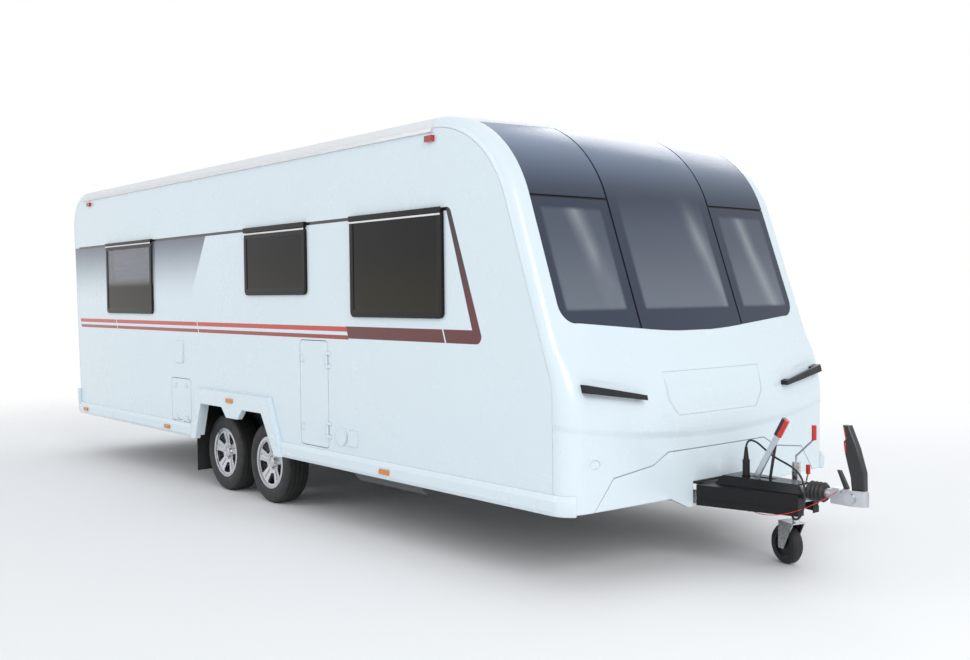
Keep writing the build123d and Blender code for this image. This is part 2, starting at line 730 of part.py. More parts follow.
def build_shell():
    """Walls, roof, floor and rear moulding, with the panes and roof lights in them."""
    nearside = side_wall(NEARSIDE_WINDOWS, ((ENTRANCE, DOOR_CORNER),))
    for eye in entrance_eyes():
        nearside += eye
    save("side_wall_nearside", nearside)
    offside = side_wall(OFFSIDE_WINDOWS, ((GAS_LOCKER, HATCH_CORNER), (CASSETTE, HATCH_CORNER)))
    for eye in hatch_eyes():
        offside += eye
    save("side_wall_offside", other_side(offside))
    save("nearside_windows", *[window_pane(row) for row in NEARSIDE_WINDOWS])
    save("offside_windows", *[other_side(window_pane(row)) for row in OFFSIDE_WINDOWS])

    roof = extrude(roof_section(ROOF_REAR), amount=ROOF_FRONT_X - ROOF_REAR[0] - JOINT_GAP)
    for x, length, width, height in ROOF_LIGHTS:
        hole = RectangleRounded(length - 2 * WINDOW_LAP, width - 2 * WINDOW_LAP, ROOF_LIGHT_CORNER / 2)
        roof -= plan_prism(Pos(x, 0) * hole, ROOF_Z, ROOF_Z + 2 * ROOF_CROWN)
    save("roof_panel", roof)
    save("roof_lights", *[roof_light(*row) for row in ROOF_LIGHTS])

    floor = block(FLOOR_SETBACK, NOSE_X, -INSIDE + JOINT_GAP, INSIDE - JOINT_GAP, SILL_Z, FLOOR_TOP)
    x0, x1, y0, y1 = wheel_box_plan()
    hole = block(x0 - JOINT_GAP, x1 + JOINT_GAP, y0 - JOINT_GAP, y1 + OVERCUT,
                 SILL_Z - OVERCUT, FLOOR_TOP + OVERCUT)
    save("floor_panel", floor - hole - other_side(hole))

    rear = extrude(roof_section(REAR_FOOT), amount=REAR_RUN)
    rear += bend(REAR_SHOULDER, REAR_TOP_RADIUS, REAR_TURN)
    save("rear_panel", rear - block(ROOF_REAR[0] - JOINT_GAP, ROOF_FRONT_X, -HALF, HALF, ROOF_Z, 2 * ROOF_Z))


def roof_light(x, length, width, height):
    """Domed roof light that sits on the roof's crown."""
    seat = ROOF_Z + ROOF_CROWN
    foot = RectangleRounded(length, width, ROOF_LIGHT_CORNER)
    head = RectangleRounded(length - 2 * ROOF_LIGHT_TAPER, width - 2 * ROOF_LIGHT_TAPER, ROOF_LIGHT_CORNER / 2)
    dome = loft([Pos(x, 0, seat + height / 3) * foot, Pos(x, 0, seat + height) * head])
    curb = plan_prism(Pos(x, 0) * foot, seat - ROOF_BOW, seat + height / 3)
    under = section_plane((x, ROOF_Z, 0.0)) * section_outline(ROOF_CROWN, ROOF_CORNER, ROOF_BOW, -JOINT_GAP)
    return dome + (curb - extrude(under, amount=length, both=True))


def wheel_box_plan():
    """Plan of the nearside wheel box: stations and widths."""
    reach = TYRE_RADIUS + WHEEL_BOX_MARGIN
    return REAR_AXLE_X - reach, FRONT_AXLE_X + reach, WHEEL_BOX_INNER_Y, INSIDE


def glazing_face(margin):
    """Whole front glazing seen from the front, drawn in by a margin."""
    half = GLAZING_HALF - margin
    foot = GLAZING_FOOT_Z + margin
    lift = foot + GLAZING_RISE
    turn = half - GLAZING_CORNER
    mid_y, mid_z = half - GLAZING_CORNER_MID[0], lift + GLAZING_CORNER_MID[1]
    end = lift + GLAZING_CORNER_RISE
    top = ROOF_Z + 2 * ROOF_CROWN
    return make_face([
        ThreePointArc((-GLASS_SPLIT_Y, foot), (0, foot - GLAZING_DIP), (GLASS_SPLIT_Y, foot)),
        Line((GLASS_SPLIT_Y, foot), (turn, lift)),
        ThreePointArc((turn, lift), (mid_y, mid_z), (half, end)),
        Line((half, end), (half, top)),
        Line((half, top), (-half, top)),
        Line((-half, top), (-half, end)),
        ThreePointArc((-half, end), (-mid_y, mid_z), (-turn, lift)),
        Line((-turn, lift), (-GLASS_SPLIT_Y, foot)),
    ])


def glazing_prism(margin):
    """Everything ahead of the glazing's rear edge that lies inside its outline."""
    return front_prism(glazing_face(margin), GLAZING_REAR_X + margin, AHEAD_X)


def glazing_band(y0, y1, z0, z1):
    """Part of the front glazing between two widths and heights."""
    return block(GLAZING_REAR_X, AHEAD_X, y0, y1, z0, z1)


def valance_face(margin):
    """Valance seen from the front, drawn in by a margin along its shut line."""
    return mirrored(
        (VALANCE_FOOT_HALF - margin, 0),
        (VALANCE_FOOT_HALF - margin, VALANCE_EDGE_Z),
        (VALANCE_SIDE_HALF - margin, VALANCE_SIDE_Z - margin),
        (VALANCE_STEP_HALF - margin, VALANCE_STEP_Z - margin),
        (VALANCE_TOP_HALF - margin, VALANCE_TOP_Z - margin),
    )


def nose_pocket(face, depth):
    """Cutter that sinks a face, drawn in Y and Z, into the nose by a depth."""
    return front_lower(-OVERCUT, depth) & front_prism(face, NOSE_X - WALL, AHEAD_X)


def build_glazing(upper):
    """Front panes, fairings and their frame; gives back the upper moulding with their seat cut in it."""
    seat = glazing_prism(0)
    upper -= front_upper(-OVERCUT, GLAZING_RECESS + GLAZING_FRAME + JOINT_GAP) & seat
    frame = front_upper(GLAZING_RECESS, GLAZING_RECESS + GLAZING_FRAME) & glazing_prism(JOINT_GAP)
    side_sight = glazing_band(GLASS_SPLIT_Y + GLAZING_BORDER, GLAZING_HALF - GLAZING_BORDER,
                              GLAZING_FOOT_Z + SIDE_SIGHT_FOOT, GLASS_TOP_Z - GLAZING_BORDER)
    middle = GLASS_SPLIT_Y - GLAZING_BORDER
    middle_sight = glazing_band(-middle, middle, GLAZING_FOOT_Z + MIDDLE_SIGHT_FOOT,
                                GLASS_TOP_Z + MIDDLE_SIGHT_HEAD)
    for sight in (middle_sight, side_sight, other_side(side_sight)):
        upper -= sight
        frame -= sight
    save("front_window_frame", frame)

    skin = front_upper(GLAZING_RECESS - GLASS_SKIN - JOINT_GAP, GLAZING_RECESS - JOINT_GAP)
    skin &= glazing_prism(2 * JOINT_GAP)
    slit = PANE_SLIT / 2
    middle = GLASS_SPLIT_Y - slit
    beside = GLASS_SPLIT_Y + slit
    top = 2 * ROOF_Z
    save("front_centre_window", skin & glazing_band(-middle, middle, 0, top))
    save("front_side_windows", *both([skin & glazing_band(beside, HALF, 0, GLASS_TOP_Z - slit)]))
    save("front_fairings", *both([skin & glazing_band(beside, HALF, GLASS_TOP_Z + slit, top)]))
    return upper


def build_front():
    """Front moulding, valance and the glazing set in the front."""
    upper = build_glazing(front_upper())
    lower = front_lower()
    outside = HALF + OVERCUT
    tongue = polygon((VALANCE_DROP_HALF, VALANCE_EDGE_Z), (outside, VALANCE_EDGE_Z), (outside, 0),
                     (VALANCE_TONGUE_HALF, 0), (VALANCE_TONGUE_HALF, NOSE_FOOT_Z))
    foot_cut = front_prism(tongue, NOSE_X - OVERCUT, AHEAD_X)
    notch = block(0, AHEAD_X, -HITCH_NOTCH_HALF, HITCH_NOTCH_HALF, 0, HITCH_NOTCH_Z)
    lower = lower - foot_cut - other_side(foot_cut) - notch
    valance = lower & front_prism(valance_face(JOINT_GAP), NOSE_X - WALL, AHEAD_X)
    save("front_valance", valance - nose_pocket(valance_face(0) - valance_face(SHUT_GAP), SHUT_DEPTH))

    lower -= front_prism(valance_face(0), NOSE_X - WALL, AHEAD_X)
    panel = mirrored((PANEL_FOOT_HALF, PANEL_FOOT_Z), (PANEL_SHOULDER_HALF, PANEL_SHOULDER_Z),
                     (PANEL_HEAD_HALF, PANEL_HEAD_Z))
    lower -= nose_pocket(panel, PANEL_DEPTH)
    blank = nose_pocket(Pos(BLANK_Y, BLANK_Z) * Ellipse(*BLANK_RADII), BLANK_DEPTH)
    lower = lower - blank - other_side(blank)
    save("front_panel", upper + lower)


def upright_leaf(x, way, z0, z1):
    """Hinge leaf with its knuckle between two heights, on the nearside wall or on a door in it."""
    axis_y = HALF + HINGE_OUT
    x0, x1 = sorted((x, x + way * HINGE_LEAF))
    return rod((x, axis_y, z0), (x, axis_y, z1), HINGE_RADIUS) + block(x0, x1, HALF, axis_y, z0, z1)


def level_leaf(x0, x1, z, z0, z1):
    """Hinge leaf with a level knuckle between two stations, on the nearside wall or on a hatch in it."""
    axis_y = HALF + HINGE_OUT
    return rod((x0, axis_y, z), (x1, axis_y, z), HINGE_RADIUS) + block(x0, x1, HALF, axis_y, z0, z1)


def wall_eyes(middle, knuckle):
    """The two spans of a hinge's wall eyes, either side of the door's knuckle."""
    inner = knuckle + JOINT_GAP
    return (middle - knuckle - HINGE_EYE, middle - inner), (middle + inner, middle + knuckle + HINGE_EYE)


def hinge_places(start, end, inset):
    """The two places of a door's hinges along its hinged edge."""
    return start + inset, end - inset


def entrance_eyes():
    """Wall eyes of the entrance door's hinges."""
    return [upright_leaf(ENTRANCE[1], 1, z0, z1)
            for z in hinge_places(ENTRANCE[2], ENTRANCE[3], ENTRANCE_HINGE_IN)
            for z0, z1 in wall_eyes(z, ENTRANCE_KNUCKLE)]


def hatch_eyes():
    """Wall eyes of both hatches' hinges, drawn on the nearside."""
    upright = [upright_leaf(GAS_LOCKER[1], 1, z0, z1)
               for z in hinge_places(GAS_LOCKER[2], GAS_LOCKER[3], GAS_HINGE_IN)
               for z0, z1 in wall_eyes(z, HATCH_KNUCKLE)]
    level = [level_leaf(x0, x1, CASSETTE[2], SKIRT_HEAD_Z + JOINT_GAP, CASSETTE[2])
             for x in hinge_places(CASSETTE[0], CASSETTE[1], CASSETTE_HINGE_IN)
             for x0, x1 in wall_eyes(x, HATCH_KNUCKLE)]
    return upright + level


def catch(x0, z0, wide, tall):
    """Catch on a nearside door, from its rear foot corner."""
    return block(x0, x0 + wide, HALF, HALF + CATCH_OUT, z0, z0 + tall)


def build_doors():
    """Entrance door, gas locker door and cassette door, each as thick as the wall."""
    door = side_prism(rounded(*ENTRANCE, DOOR_CORNER), INSIDE, HALF)
    door -= wall_cut(rounded(*grown(DOOR_WINDOW, -WINDOW_LAP), WINDOW_CORNER))
    for z in hinge_places(ENTRANCE[2], ENTRANCE[3], ENTRANCE_HINGE_IN):
        door += upright_leaf(ENTRANCE[1], -1, z - ENTRANCE_KNUCKLE, z + ENTRANCE_KNUCKLE)
    inset, wide, rise, tall = DOOR_HANDLE
    save("entrance_door", door + catch(ENTRANCE[0] + inset, ENTRANCE[2] + rise, wide, tall))
    save("entrance_door_window", window_pane(DOOR_WINDOW))

    locker = side_prism(rounded(*GAS_LOCKER, HATCH_CORNER), INSIDE, HALF)
    inset, wide, tall = GAS_CATCH
    for z in hinge_places(GAS_LOCKER[2], GAS_LOCKER[3], GAS_HINGE_IN):
        locker += upright_leaf(GAS_LOCKER[1], -1, z - HATCH_KNUCKLE, z + HATCH_KNUCKLE)
        locker += catch(GAS_LOCKER[0] + inset, z - tall / 2, wide, tall)
    save("gas_locker_door", other_side(locker))

    hatch = side_prism(rounded(*CASSETTE, HATCH_CORNER), INSIDE, HALF)
    inset, wide, tall = CASSETTE_CATCH
    for x in hinge_places(CASSETTE[0], CASSETTE[1], CASSETTE_HINGE_IN):
        hatch += level_leaf(x - HATCH_KNUCKLE, x + HATCH_KNUCKLE, CASSETTE[2],
                            CASSETTE[2], CASSETTE[2] + HINGE_LEAF)
        hatch += catch(x - wide / 2, CASSETTE[3] - inset - tall, wide, tall)
    save("cassette_door", other_side(hatch))


def locker_lining(row, depth):
    """Open box behind a hatch, from the floor up, against the nearside wall's inner face."""
    x0, x1, _, z1 = grown(row, SHUT_GAP + LINING)
    box = block(x0, x1, INSIDE - depth, INSIDE, FLOOR_TOP, z1)
    return box - block(x0 + LINING, x1 - LINING, INSIDE - depth + LINING, INSIDE + OVERCUT,
                       FLOOR_TOP + LINING, z1 - LINING)


def build_inside():
    """Locker linings, wheel boxes with their mud flaps, and the furniture that shows through the windows."""
    save("locker_linings",
         other_side(locker_lining(GAS_LOCKER, GAS_DEPTH)),
         other_side(locker_lining(CASSETTE, CASSETTE_DEPTH)))
    x0, x1, y0, y1 = wheel_box_plan()
    box = block(x0, x1, y0, y1, SILL_Z, WHEEL_BOX_TOP_Z)
    box -= block(x0 + WHEEL_BOX_SKIN, x1 - WHEEL_BOX_SKIN, y0 + WHEEL_BOX_SKIN, y1 + OVERCUT,
                 SILL_Z - OVERCUT, WHEEL_BOX_TOP_Z - WHEEL_BOX_SKIN)
    reach = MUD_FLAP_WIDTH / 2
    flap = block(MUD_FLAP_X, MUD_FLAP_X + MUD_FLAP_THICK, WHEEL_Y - reach, WHEEL_Y + reach,
                 MUD_FLAP_FOOT_Z, SILL_Z)
    save("wheel_boxes", *both([box, flap]))

    wall_y = INSIDE - FIT_GAP
    counter_y = KITCHEN_DEPTH - INSIDE
    kitchen = block(KITCHEN_X[0], KITCHEN_X[1], -wall_y, counter_y, WHEEL_BOX_TOP_Z + FIT_GAP, WORKTOP_Z)
    kitchen += block(x1 + FIT_GAP, KITCHEN_X[1], -wall_y, counter_y, FLOOR_TOP, WORKTOP_Z)
    partition = block(PARTITION_X, PARTITION_X + WALL, -wall_y, wall_y, FLOOR_TOP, PARTITION_TOP_Z)
    partition -= block(PARTITION_X - OVERCUT, PARTITION_X + WALL + OVERCUT, -AISLE_HALF, AISLE_HALF,
                       0, AISLE_TOP_Z)
    bed = block(BED_X[0], BED_X[1], -wall_y, BED_EDGE_Y, FLOOR_TOP, BED_Z)
    settee = block(SETTEE_X[0], SETTEE_X[1], SETTEE_INNER_Y, wall_y, FLOOR_TOP, SETTEE_Z)
    save("furniture", kitchen, partition, bed)
    save("settee_bases", *both([settee]))

    pad_z = SETTEE_Z + PAD_THICK
    seat = block(SETTEE_X[0], SETTEE_X[1], SETTEE_INNER_Y, wall_y, SETTEE_Z + FIT_GAP, pad_z)
    back = block(SETTEE_X[0], SETTEE_X[1], INSIDE - PAD_THICK, wall_y, pad_z + FIT_GAP, pad_z + BACKREST_TALL)
    mattress = block(BED_X[0], BED_X[1], -wall_y, BED_EDGE_Y, BED_Z + FIT_GAP, BED_Z + PAD_THICK)
    save("cushions", *both([seat, back]), mattress)


def skirt_profile():
    """Skirt's section in Y and Z on the nearside."""
    inner = HALF + FIT_GAP
    return polygon(
        (inner, SKIRT_FOOT_Z),
        (inner + SKIRT_FOOT_OUT, SKIRT_FOOT_Z),
        (inner + SKIRT_OUT, SKIRT_FOOT_Z + SKIRT_ROLL),
        (inner + SKIRT_OUT, SKIRT_HEAD_Z - SKIRT_SLOPE),
        (inner + SKIRT_HEAD_OUT, SKIRT_HEAD_Z),
        (inner, SKIRT_HEAD_Z),
    )


def skirt():
    """Skirt of the nearside, with its wheel arch and the end that wraps the front corner."""
    rear = front_prism(skirt_profile(), 0, ARCH_REAR_FOOT_X - ARCH_TRIM / 2)
    cx, cy = corner_centre()
    front = front_prism(skirt_profile(), ARCH_FRONT_FOOT_X + ARCH_TRIM / 2, cx)
    profile = Plane(origin=(cx, 0, 0), x_dir=(0, 1, 0), z_dir=(1, 0, 0)) * skirt_profile()
    front += revolve(profile, Axis((cx, cy, 0), (0, 0, -1)), SKIRT_WRAP)
    trim = arch_face(ARCH_TRIM, ARCH_TRIM_HEAD) - arch_face(0, 0)
    tooth = polygon(
        (TOOTH_X - TOOTH_HALF_TOP, ARCH_TOP_Z + OVERCUT),
        (TOOTH_X + TOOTH_HALF_TOP, ARCH_TOP_Z + OVERCUT),
        (TOOTH_X + TOOTH_HALF_FOOT, ARCH_TOP_Z - TOOTH_DROP),
        (TOOTH_X - TOOTH_HALF_FOOT, ARCH_TOP_Z - TOOTH_DROP),
    )
    inner = HALF + FIT_GAP
    arch = side_prism(trim + tooth, inner, inner + SKIRT_OUT + ARCH_TRIM_OUT)
    arch -= block(0, AHEAD_X, inner - OVERCUT, 2 * HALF, 0, SKIRT_FOOT_Z)
    return rear + arch + front


def seat_block(x, z, seat, size):
    """Small block on the nearside, against a seat."""
    return block(x - size[0] / 2, x + size[0] / 2, seat, seat + size[1], z - size[2] / 2, z + size[2] / 2)


def rear_layer(outer, inner, run):
    """Layer on the rear moulding's straight, up to a run along it."""
    return extrude(roof_section(REAR_FOOT, outer, inner), amount=run)


def front_handle():
    """Nearside grab handle, which follows the nose and stands off it between its two feet."""
    bar = front_prism(polygon(
        (HANDLE_OUT_Y, HANDLE_OUT_Z + HANDLE_OUT_TALL / 2),
        (HANDLE_IN_Y, HANDLE_IN_Z + HANDLE_IN_TALL / 2),
        (HANDLE_IN_Y, HANDLE_IN_Z - HANDLE_IN_TALL / 2),
        (HANDLE_OUT_Y, HANDLE_OUT_Z - HANDLE_OUT_TALL / 2)), NOSE_X - WALL, AHEAD_X)
    grip = front_lower(-HANDLE_OUT, -HANDLE_OUT + HANDLE_THICK) & bar
    feet = front_lower(-HANDLE_OUT, -FIT_GAP) & bar
    finger_gap = block(0, AHEAD_X, HANDLE_IN_Y + HANDLE_IN_FOOT, HANDLE_OUT_Y - HANDLE_OUT_FOOT, 0, ROOF_Z)
    return grip + (feet - finger_gap)


def louvre(row):
    """Fridge vent on the nearside wall, with a row of slots."""
    vent = side_prism(rounded(*row, FLUE_CORNER), HALF, HALF + VENT_OUT)
    pitch = (row[3] - row[2]) / (VENT_SLOTS + 1)
    for index in range(1, VENT_SLOTS + 1):
        z = row[2] + index * pitch
        vent -= block(row[0] + VENT_SLOT_IN, row[1] - VENT_SLOT_IN, HALF + VENT_OUT - VENT_SLOT_DEPTH,
                      HALF + VENT_OUT + OVERCUT, z - VENT_SLOT_TALL / 2, z + VENT_SLOT_TALL / 2)
    return vent


def build_trim():
    """Skirts, lamps, rails, bumper, handles and wall fittings."""
    save("skirts", *both([skirt()]))
    inner = HALF + FIT_GAP
    save("marker_lamps", *both([seat_block(x, z, inner + out, MARKER_SIZE) for x, z, out in MARKERS]))
    save("outline_lamps", *both([seat_block(x, ROOF_Z - OUTLINE_DROP, HALF, OUTLINE_SIZE)
                                 for x in (OUTLINE_REAR_X, ROOF_FRONT_X - OUTLINE_FRONT_BACK)]))
    rail = block(ROOF_REAR[0], ROOF_FRONT_X, HALF, HALF + RAIL_OUT, ROOF_Z - RAIL_TALL, ROOF_Z)
    save("awning_rails", *both([rail]))

    bumper = rear_layer(-BUMPER_OUT, -FIT_GAP, BUMPER_TALL)
    save("rear_bumper", bumper - block(0, AHEAD_X, -2 * HALF, 2 * HALF, 0, ROOF_Z))
    layer = rear_layer(-REAR_LAMP_OUT, -FIT_GAP, REAR_RUN)
    lamp = layer & block(-HALF, 0, *REAR_LAMP_Y, *REAR_LAMP_Z)
    save("rear_lamps", *both([lamp]))
    save("front_handles", *both([front_handle()]))

    flue = side_prism(rounded(*FLUE, FLUE_CORNER), HALF, HALF + VENT_OUT)
    inlet = side_prism(Pos(*WATER_INLET) * Circle(WATER_INLET_RADIUS), HALF, HALF + VENT_OUT)
    cover = side_prism(rounded(*SOCKET_FLAP, FLAP_CORNER), HALF, HALF + VENT_OUT)
    save("wall_fittings", *[other_side(piece) for piece in (flue, inlet, cover)],
         *[louvre(row) for row in FRIDGE_VENTS])


def tyre():
    """Tyre about the Y axis, with its middle at the origin."""
    half = TYRE_WIDTH / 2
    bead = BEAD_WIDTH / 2
    lip = BEAD_RADIUS + RIM_FLANGE + FIT_GAP
    wall = (lip + TYRE_RADIUS) / 2
    shoulder = TYRE_RADIUS - SHOULDER_DROP
    shoulder_y = half - SHOULDER_IN
    bulge = TYRE_RADIUS - SHOULDER_DROP / 3
    bulge_y = half - TREAD_EDGE / 2
    tread_y = half - TREAD_EDGE
    profile = make_face([
        Line((BEAD_RADIUS, -bead), (BEAD_RADIUS, bead)),
        Line((BEAD_RADIUS, bead), (lip, bead)),
        ThreePointArc((lip, bead), (wall, half), (shoulder, shoulder_y)),
        ThreePointArc((shoulder, shoulder_y), (bulge, bulge_y), (TYRE_RADIUS, tread_y)),
        Line((TYRE_RADIUS, tread_y), (TYRE_RADIUS, -tread_y)),
        ThreePointArc((TYRE_RADIUS, -tread_y), (bulge, -bulge_y), (shoulder, -shoulder_y)),
        ThreePointArc((shoulder, -shoulder_y), (wall, -half), (lip, -bead)),
        Line((lip, -bead), (BEAD_RADIUS, -bead)),
    ])
    return revolve(profile, Axis.Y)


def turned_ring(r0, r1, y0, y1):
    """Ring about the Y axis."""
    return revolve(polygon((r0, y0), (r1, y0), (r1, y1), (r0, y1)), Axis.Y)


def dish_layer(outer, inner):
    """Coned layer of the wheel's disc between two depths under its face, about the Y axis."""
    rim = BEAD_RADIUS - RIM_WALL / 2
    hub = HUB_RADIUS - RIM_WALL
    return revolve(polygon((hub, DISH_HUB_Y - inner), (rim, DISH_RIM_Y - inner),
                           (rim, DISH_RIM_Y - outer), (hub, DISH_HUB_Y - outer)), Axis.Y)


def polar(radius, turn):
    """Point in X and Z at a radius and a turn from straight up."""
    angle = math.radians(turn)
    return radius * math.sin(angle), radius * math.cos(angle)


def spoke_window():
    """Cutter for the opening between two spokes, at the top of the wheel."""
    foot_a, foot_b = polar(WINDOW_INNER, -WINDOW_INNER_TURN), polar(WINDOW_INNER, WINDOW_INNER_TURN)
    head_a, head_b = polar(WINDOW_OUTER, -WINDOW_OUTER_TURN), polar(WINDOW_OUTER, WINDOW_OUTER_TURN)
    face = make_face([
        Line(foot_a, head_a),
        ThreePointArc(head_a, (0, WINDOW_OUTER), head_b),
        Line(head_b, foot_b),
        Line(foot_b, foot_a),
    ])
    return side_prism(fillet(face.vertices(), WINDOW_ROUND), 0, TYRE_WIDTH)


def road_wheel():
    """Alloy wheel with its hub drum about the Y axis, outer side at +Y."""
    bead = BEAD_WIDTH / 2
    flange = RIM_FLANGE / 2
    barrel = turned_ring(BEAD_RADIUS - RIM_WALL, BEAD_RADIUS - FIT_GAP, -bead - flange, bead + flange)
    for y in (-bead - flange, bead + FIT_GAP):
        barrel += turned_ring(BEAD_RADIUS - RIM_WALL, BEAD_RADIUS + RIM_FLANGE, y, y + flange - FIT_GAP)
    drum_y = DRUM_INNER_Y - WHEEL_Y
    hub = turned_ring(STUB_RADIUS + FIT_GAP, HUB_RADIUS, drum_y, DISH_HUB_Y)
    hub += turned_ring(STUB_RADIUS + FIT_GAP, DRUM_RADIUS, drum_y, drum_y + DRUM_WIDTH)
    hub += turned_ring(0, HUB_CAP_RADIUS, DISH_HUB_Y - OVERCUT, HUB_CAP_Y)
    disc = dish_layer(0, DISH_THICK)
    foot, head, wide, depth = SPOKE_GROOVE
    groove = side_prism(rounded(-wide / 2, wide / 2, foot, head, wide / 3), 0, TYRE_WIDTH)
    groove &= dish_layer(-OVERCUT, depth)
    pitch = 360 / SPOKES
    for index in range(SPOKES):
        disc -= Rot(0, index * pitch, 0) * groove
        disc -= Rot(0, (index + 0.5) * pitch, 0) * spoke_window()
    return barrel + hub + disc


def axle(x):
    """Trailing-arm axle that carries one pair of wheels."""
    tube_z = RAIL_FOOT_Z - AXLE_TUBE_RADIUS
    tube_x = x + ARM_LENGTH
    arm_y = DRUM_INNER_Y - BACKPLATE_GAP - BACKPLATE - ARM_THICK
    plate_y = arm_y + ARM_THICK
    half = rod((tube_x, 0, tube_z), (tube_x, arm_y + OVERCUT, tube_z), AXLE_TUBE_RADIUS)
    half += block(tube_x - AXLE_TUBE_RADIUS, tube_x + AXLE_TUBE_RADIUS, RAIL_Y - RAIL_WIDTH / 2,
                  RAIL_Y + RAIL_WIDTH / 2, tube_z, RAIL_FOOT_Z)
    rings = [Pos(tube_x, tube_z) * Circle(AXLE_TUBE_RADIUS + ARM_LAP), Pos(x, TYRE_RADIUS) * Circle(ARM_EYE)]
    half += side_prism(make_hull([edge for ring in rings for edge in ring.edges()]), arm_y, plate_y)
    half += rod((x, arm_y, TYRE_RADIUS), (x, WHEEL_Y, TYRE_RADIUS), STUB_RADIUS)
    half += rod((x, plate_y - OVERCUT, TYRE_RADIUS), (x, plate_y + BACKPLATE, TYRE_RADIUS), DRUM_RADIUS)
    return half + other_side(half)


def build_running_gear():
    """Axles, road wheels and tyres."""
    save("axles", axle(REAR_AXLE_X), axle(FRONT_AXLE_X))
    ring = tyre()
    wheel = road_wheel()
    for name, x, side in ROAD_WHEELS:
        turned_wheel = wheel if side > 0 else other_side(wheel)
        save("tyre_" + name, Pos(x, side * WHEEL_Y, TYRE_RADIUS) * ring)
        save("wheel_" + name, Pos(x, side * WHEEL_Y, TYRE_RADIUS) * turned_wheel)


def chassis_half():
    """Nearside rail and drawbar arm, both open channels."""
    half = RAIL_WIDTH / 2
    web = half - RAIL_SKIN
    low, high = RAIL_FOOT_Z + RAIL_SKIN, SILL_Z - RAIL_SKIN
    rail = block(RAIL_REAR_X, RAIL_BEND_X, RAIL_Y - half, RAIL_Y + half, RAIL_FOOT_Z, SILL_Z)
    rail -= block(RAIL_REAR_X - OVERCUT, RAIL_BEND_X + OVERCUT, RAIL_Y - half - OVERCUT, RAIL_Y + web,
                  low, high)
    start_x = RAIL_BEND_X - half
    arm = plan_prism(polygon((start_x, RAIL_Y - half), (start_x, RAIL_Y + half), (DRAWBAR_X, DRAWBAR_Y + half),
                             (DRAWBAR_X, DRAWBAR_Y - half)), RAIL_FOOT_Z, SILL_Z)
    end_x = DRAWBAR_X + OVERCUT
    arm -= plan_prism(polygon((RAIL_BEND_X, RAIL_Y - RAIL_WIDTH), (RAIL_BEND_X, RAIL_Y + web),
                              (end_x, DRAWBAR_Y + web), (end_x, DRAWBAR_Y - RAIL_WIDTH)), low, high)
    return rail + arm


def arm_face_y(x):
    """Width of the drawbar arm's outer face at a station."""
    half = RAIL_WIDTH / 2
    run = DRAWBAR_X - RAIL_BEND_X + half
    return RAIL_Y + half + (x - RAIL_BEND_X + half) * (DRAWBAR_Y - RAIL_Y) / run


def under_floor_tank():
    """Tank under the offside of the floor, with chamfered lower edges."""
    y0 = -TANK_OUT_Y
    y1 = -RAIL_Y - RAIL_WIDTH
    edge = TANK_FOOT_Z + TANK_EASE
    return front_prism(polygon((y0, SILL_Z), (y1, SILL_Z), (y1, edge), (y1 - TANK_EASE, TANK_FOOT_Z),
                               (y0 + TANK_EASE, TANK_FOOT_Z), (y0, edge)), *TANK_X)


def build_chassis():
    """Chassis frame, tank, overrun unit, coupling and its handles."""
    frame = chassis_half()
    frame += other_side(frame)
    for x in CROSS_X:
        frame += block(x - CROSS_HALF, x + CROSS_HALF, -RAIL_Y, RAIL_Y, RAIL_FOOT_Z + RAIL_SKIN, SILL_Z)
    bridge = DRAWBAR_Y + DRAWBAR_BLOCK_LAP
    frame += block(DRAWBAR_X - DRAWBAR_BLOCK, DRAWBAR_X + RAIL_SKIN, -bridge, bridge, RAIL_FOOT_Z, SILL_Z)
    clip_x, clip_y, clip_z = BREAKAWAY_ROUTE[0]
    frame += block(clip_x - CLIP_LENGTH, clip_x - CABLE_SEAT, clip_y - CLIP_HALF, clip_y + CLIP_HALF,
                   clip_z - CLIP_DROP, RAIL_FOOT_Z + OVERCUT)
    save("chassis_frame", frame)
    save("under_floor_tank", under_floor_tank())

    housing = block(HOUSING_REAR_X, HOUSING_FRONT_X, -HOUSING_HALF, HOUSING_HALF, SILL_Z, HOUSING_HEAD_Z)
    shaft = rod((HOUSING_FRONT_X - OVERCUT, 0, HITCH_Z), (NECK_REAR_X + SHAFT_SEAT, 0, HITCH_Z), SHAFT_RADIUS)
    gland_x, gland_y, gland_z = PLUG_ROUTE[-1]
    gland = rod((gland_x, gland_y, gland_z + CABLE_SEAT), (gland_x, gland_y, SILL_Z + OVERCUT), GLAND_RADIUS)
    save("overrun_housing", housing + shaft + gland)
    save("drawbar_gaiter", gaiter())
    save("coupling_head", coupling_head())
    save("coupling_handles", hitch_handle(STABILISER_OUTLINE, STABILISER_HALF, STABILISER_EASE),
         hitch_handle(RELEASE_OUTLINE, RELEASE_HALF, RELEASE_EASE))
    save("handbrake_lever", handbrake())


def gaiter():
    """Rubber bellows on the drawbar shaft."""
    start = HOUSING_FRONT_X + FIT_GAP
    pitch = (GAITER_FRONT_X - start) / GAITER_FOLDS
    valley = GAITER_RADIUS - GAITER_FOLD
    bore = SHAFT_RADIUS + FIT_GAP
    points = [(start, bore)]
    for fold in range(GAITER_FOLDS):
        points.append((start + fold * pitch, valley))
        points.append((start + (fold + 0.5) * pitch, GAITER_RADIUS))
    points.append((GAITER_FRONT_X, valley))
    points.append((GAITER_FRONT_X, bore))
    return Pos(0, 0, HITCH_Z) * revolve(polygon(*points), Axis.X)


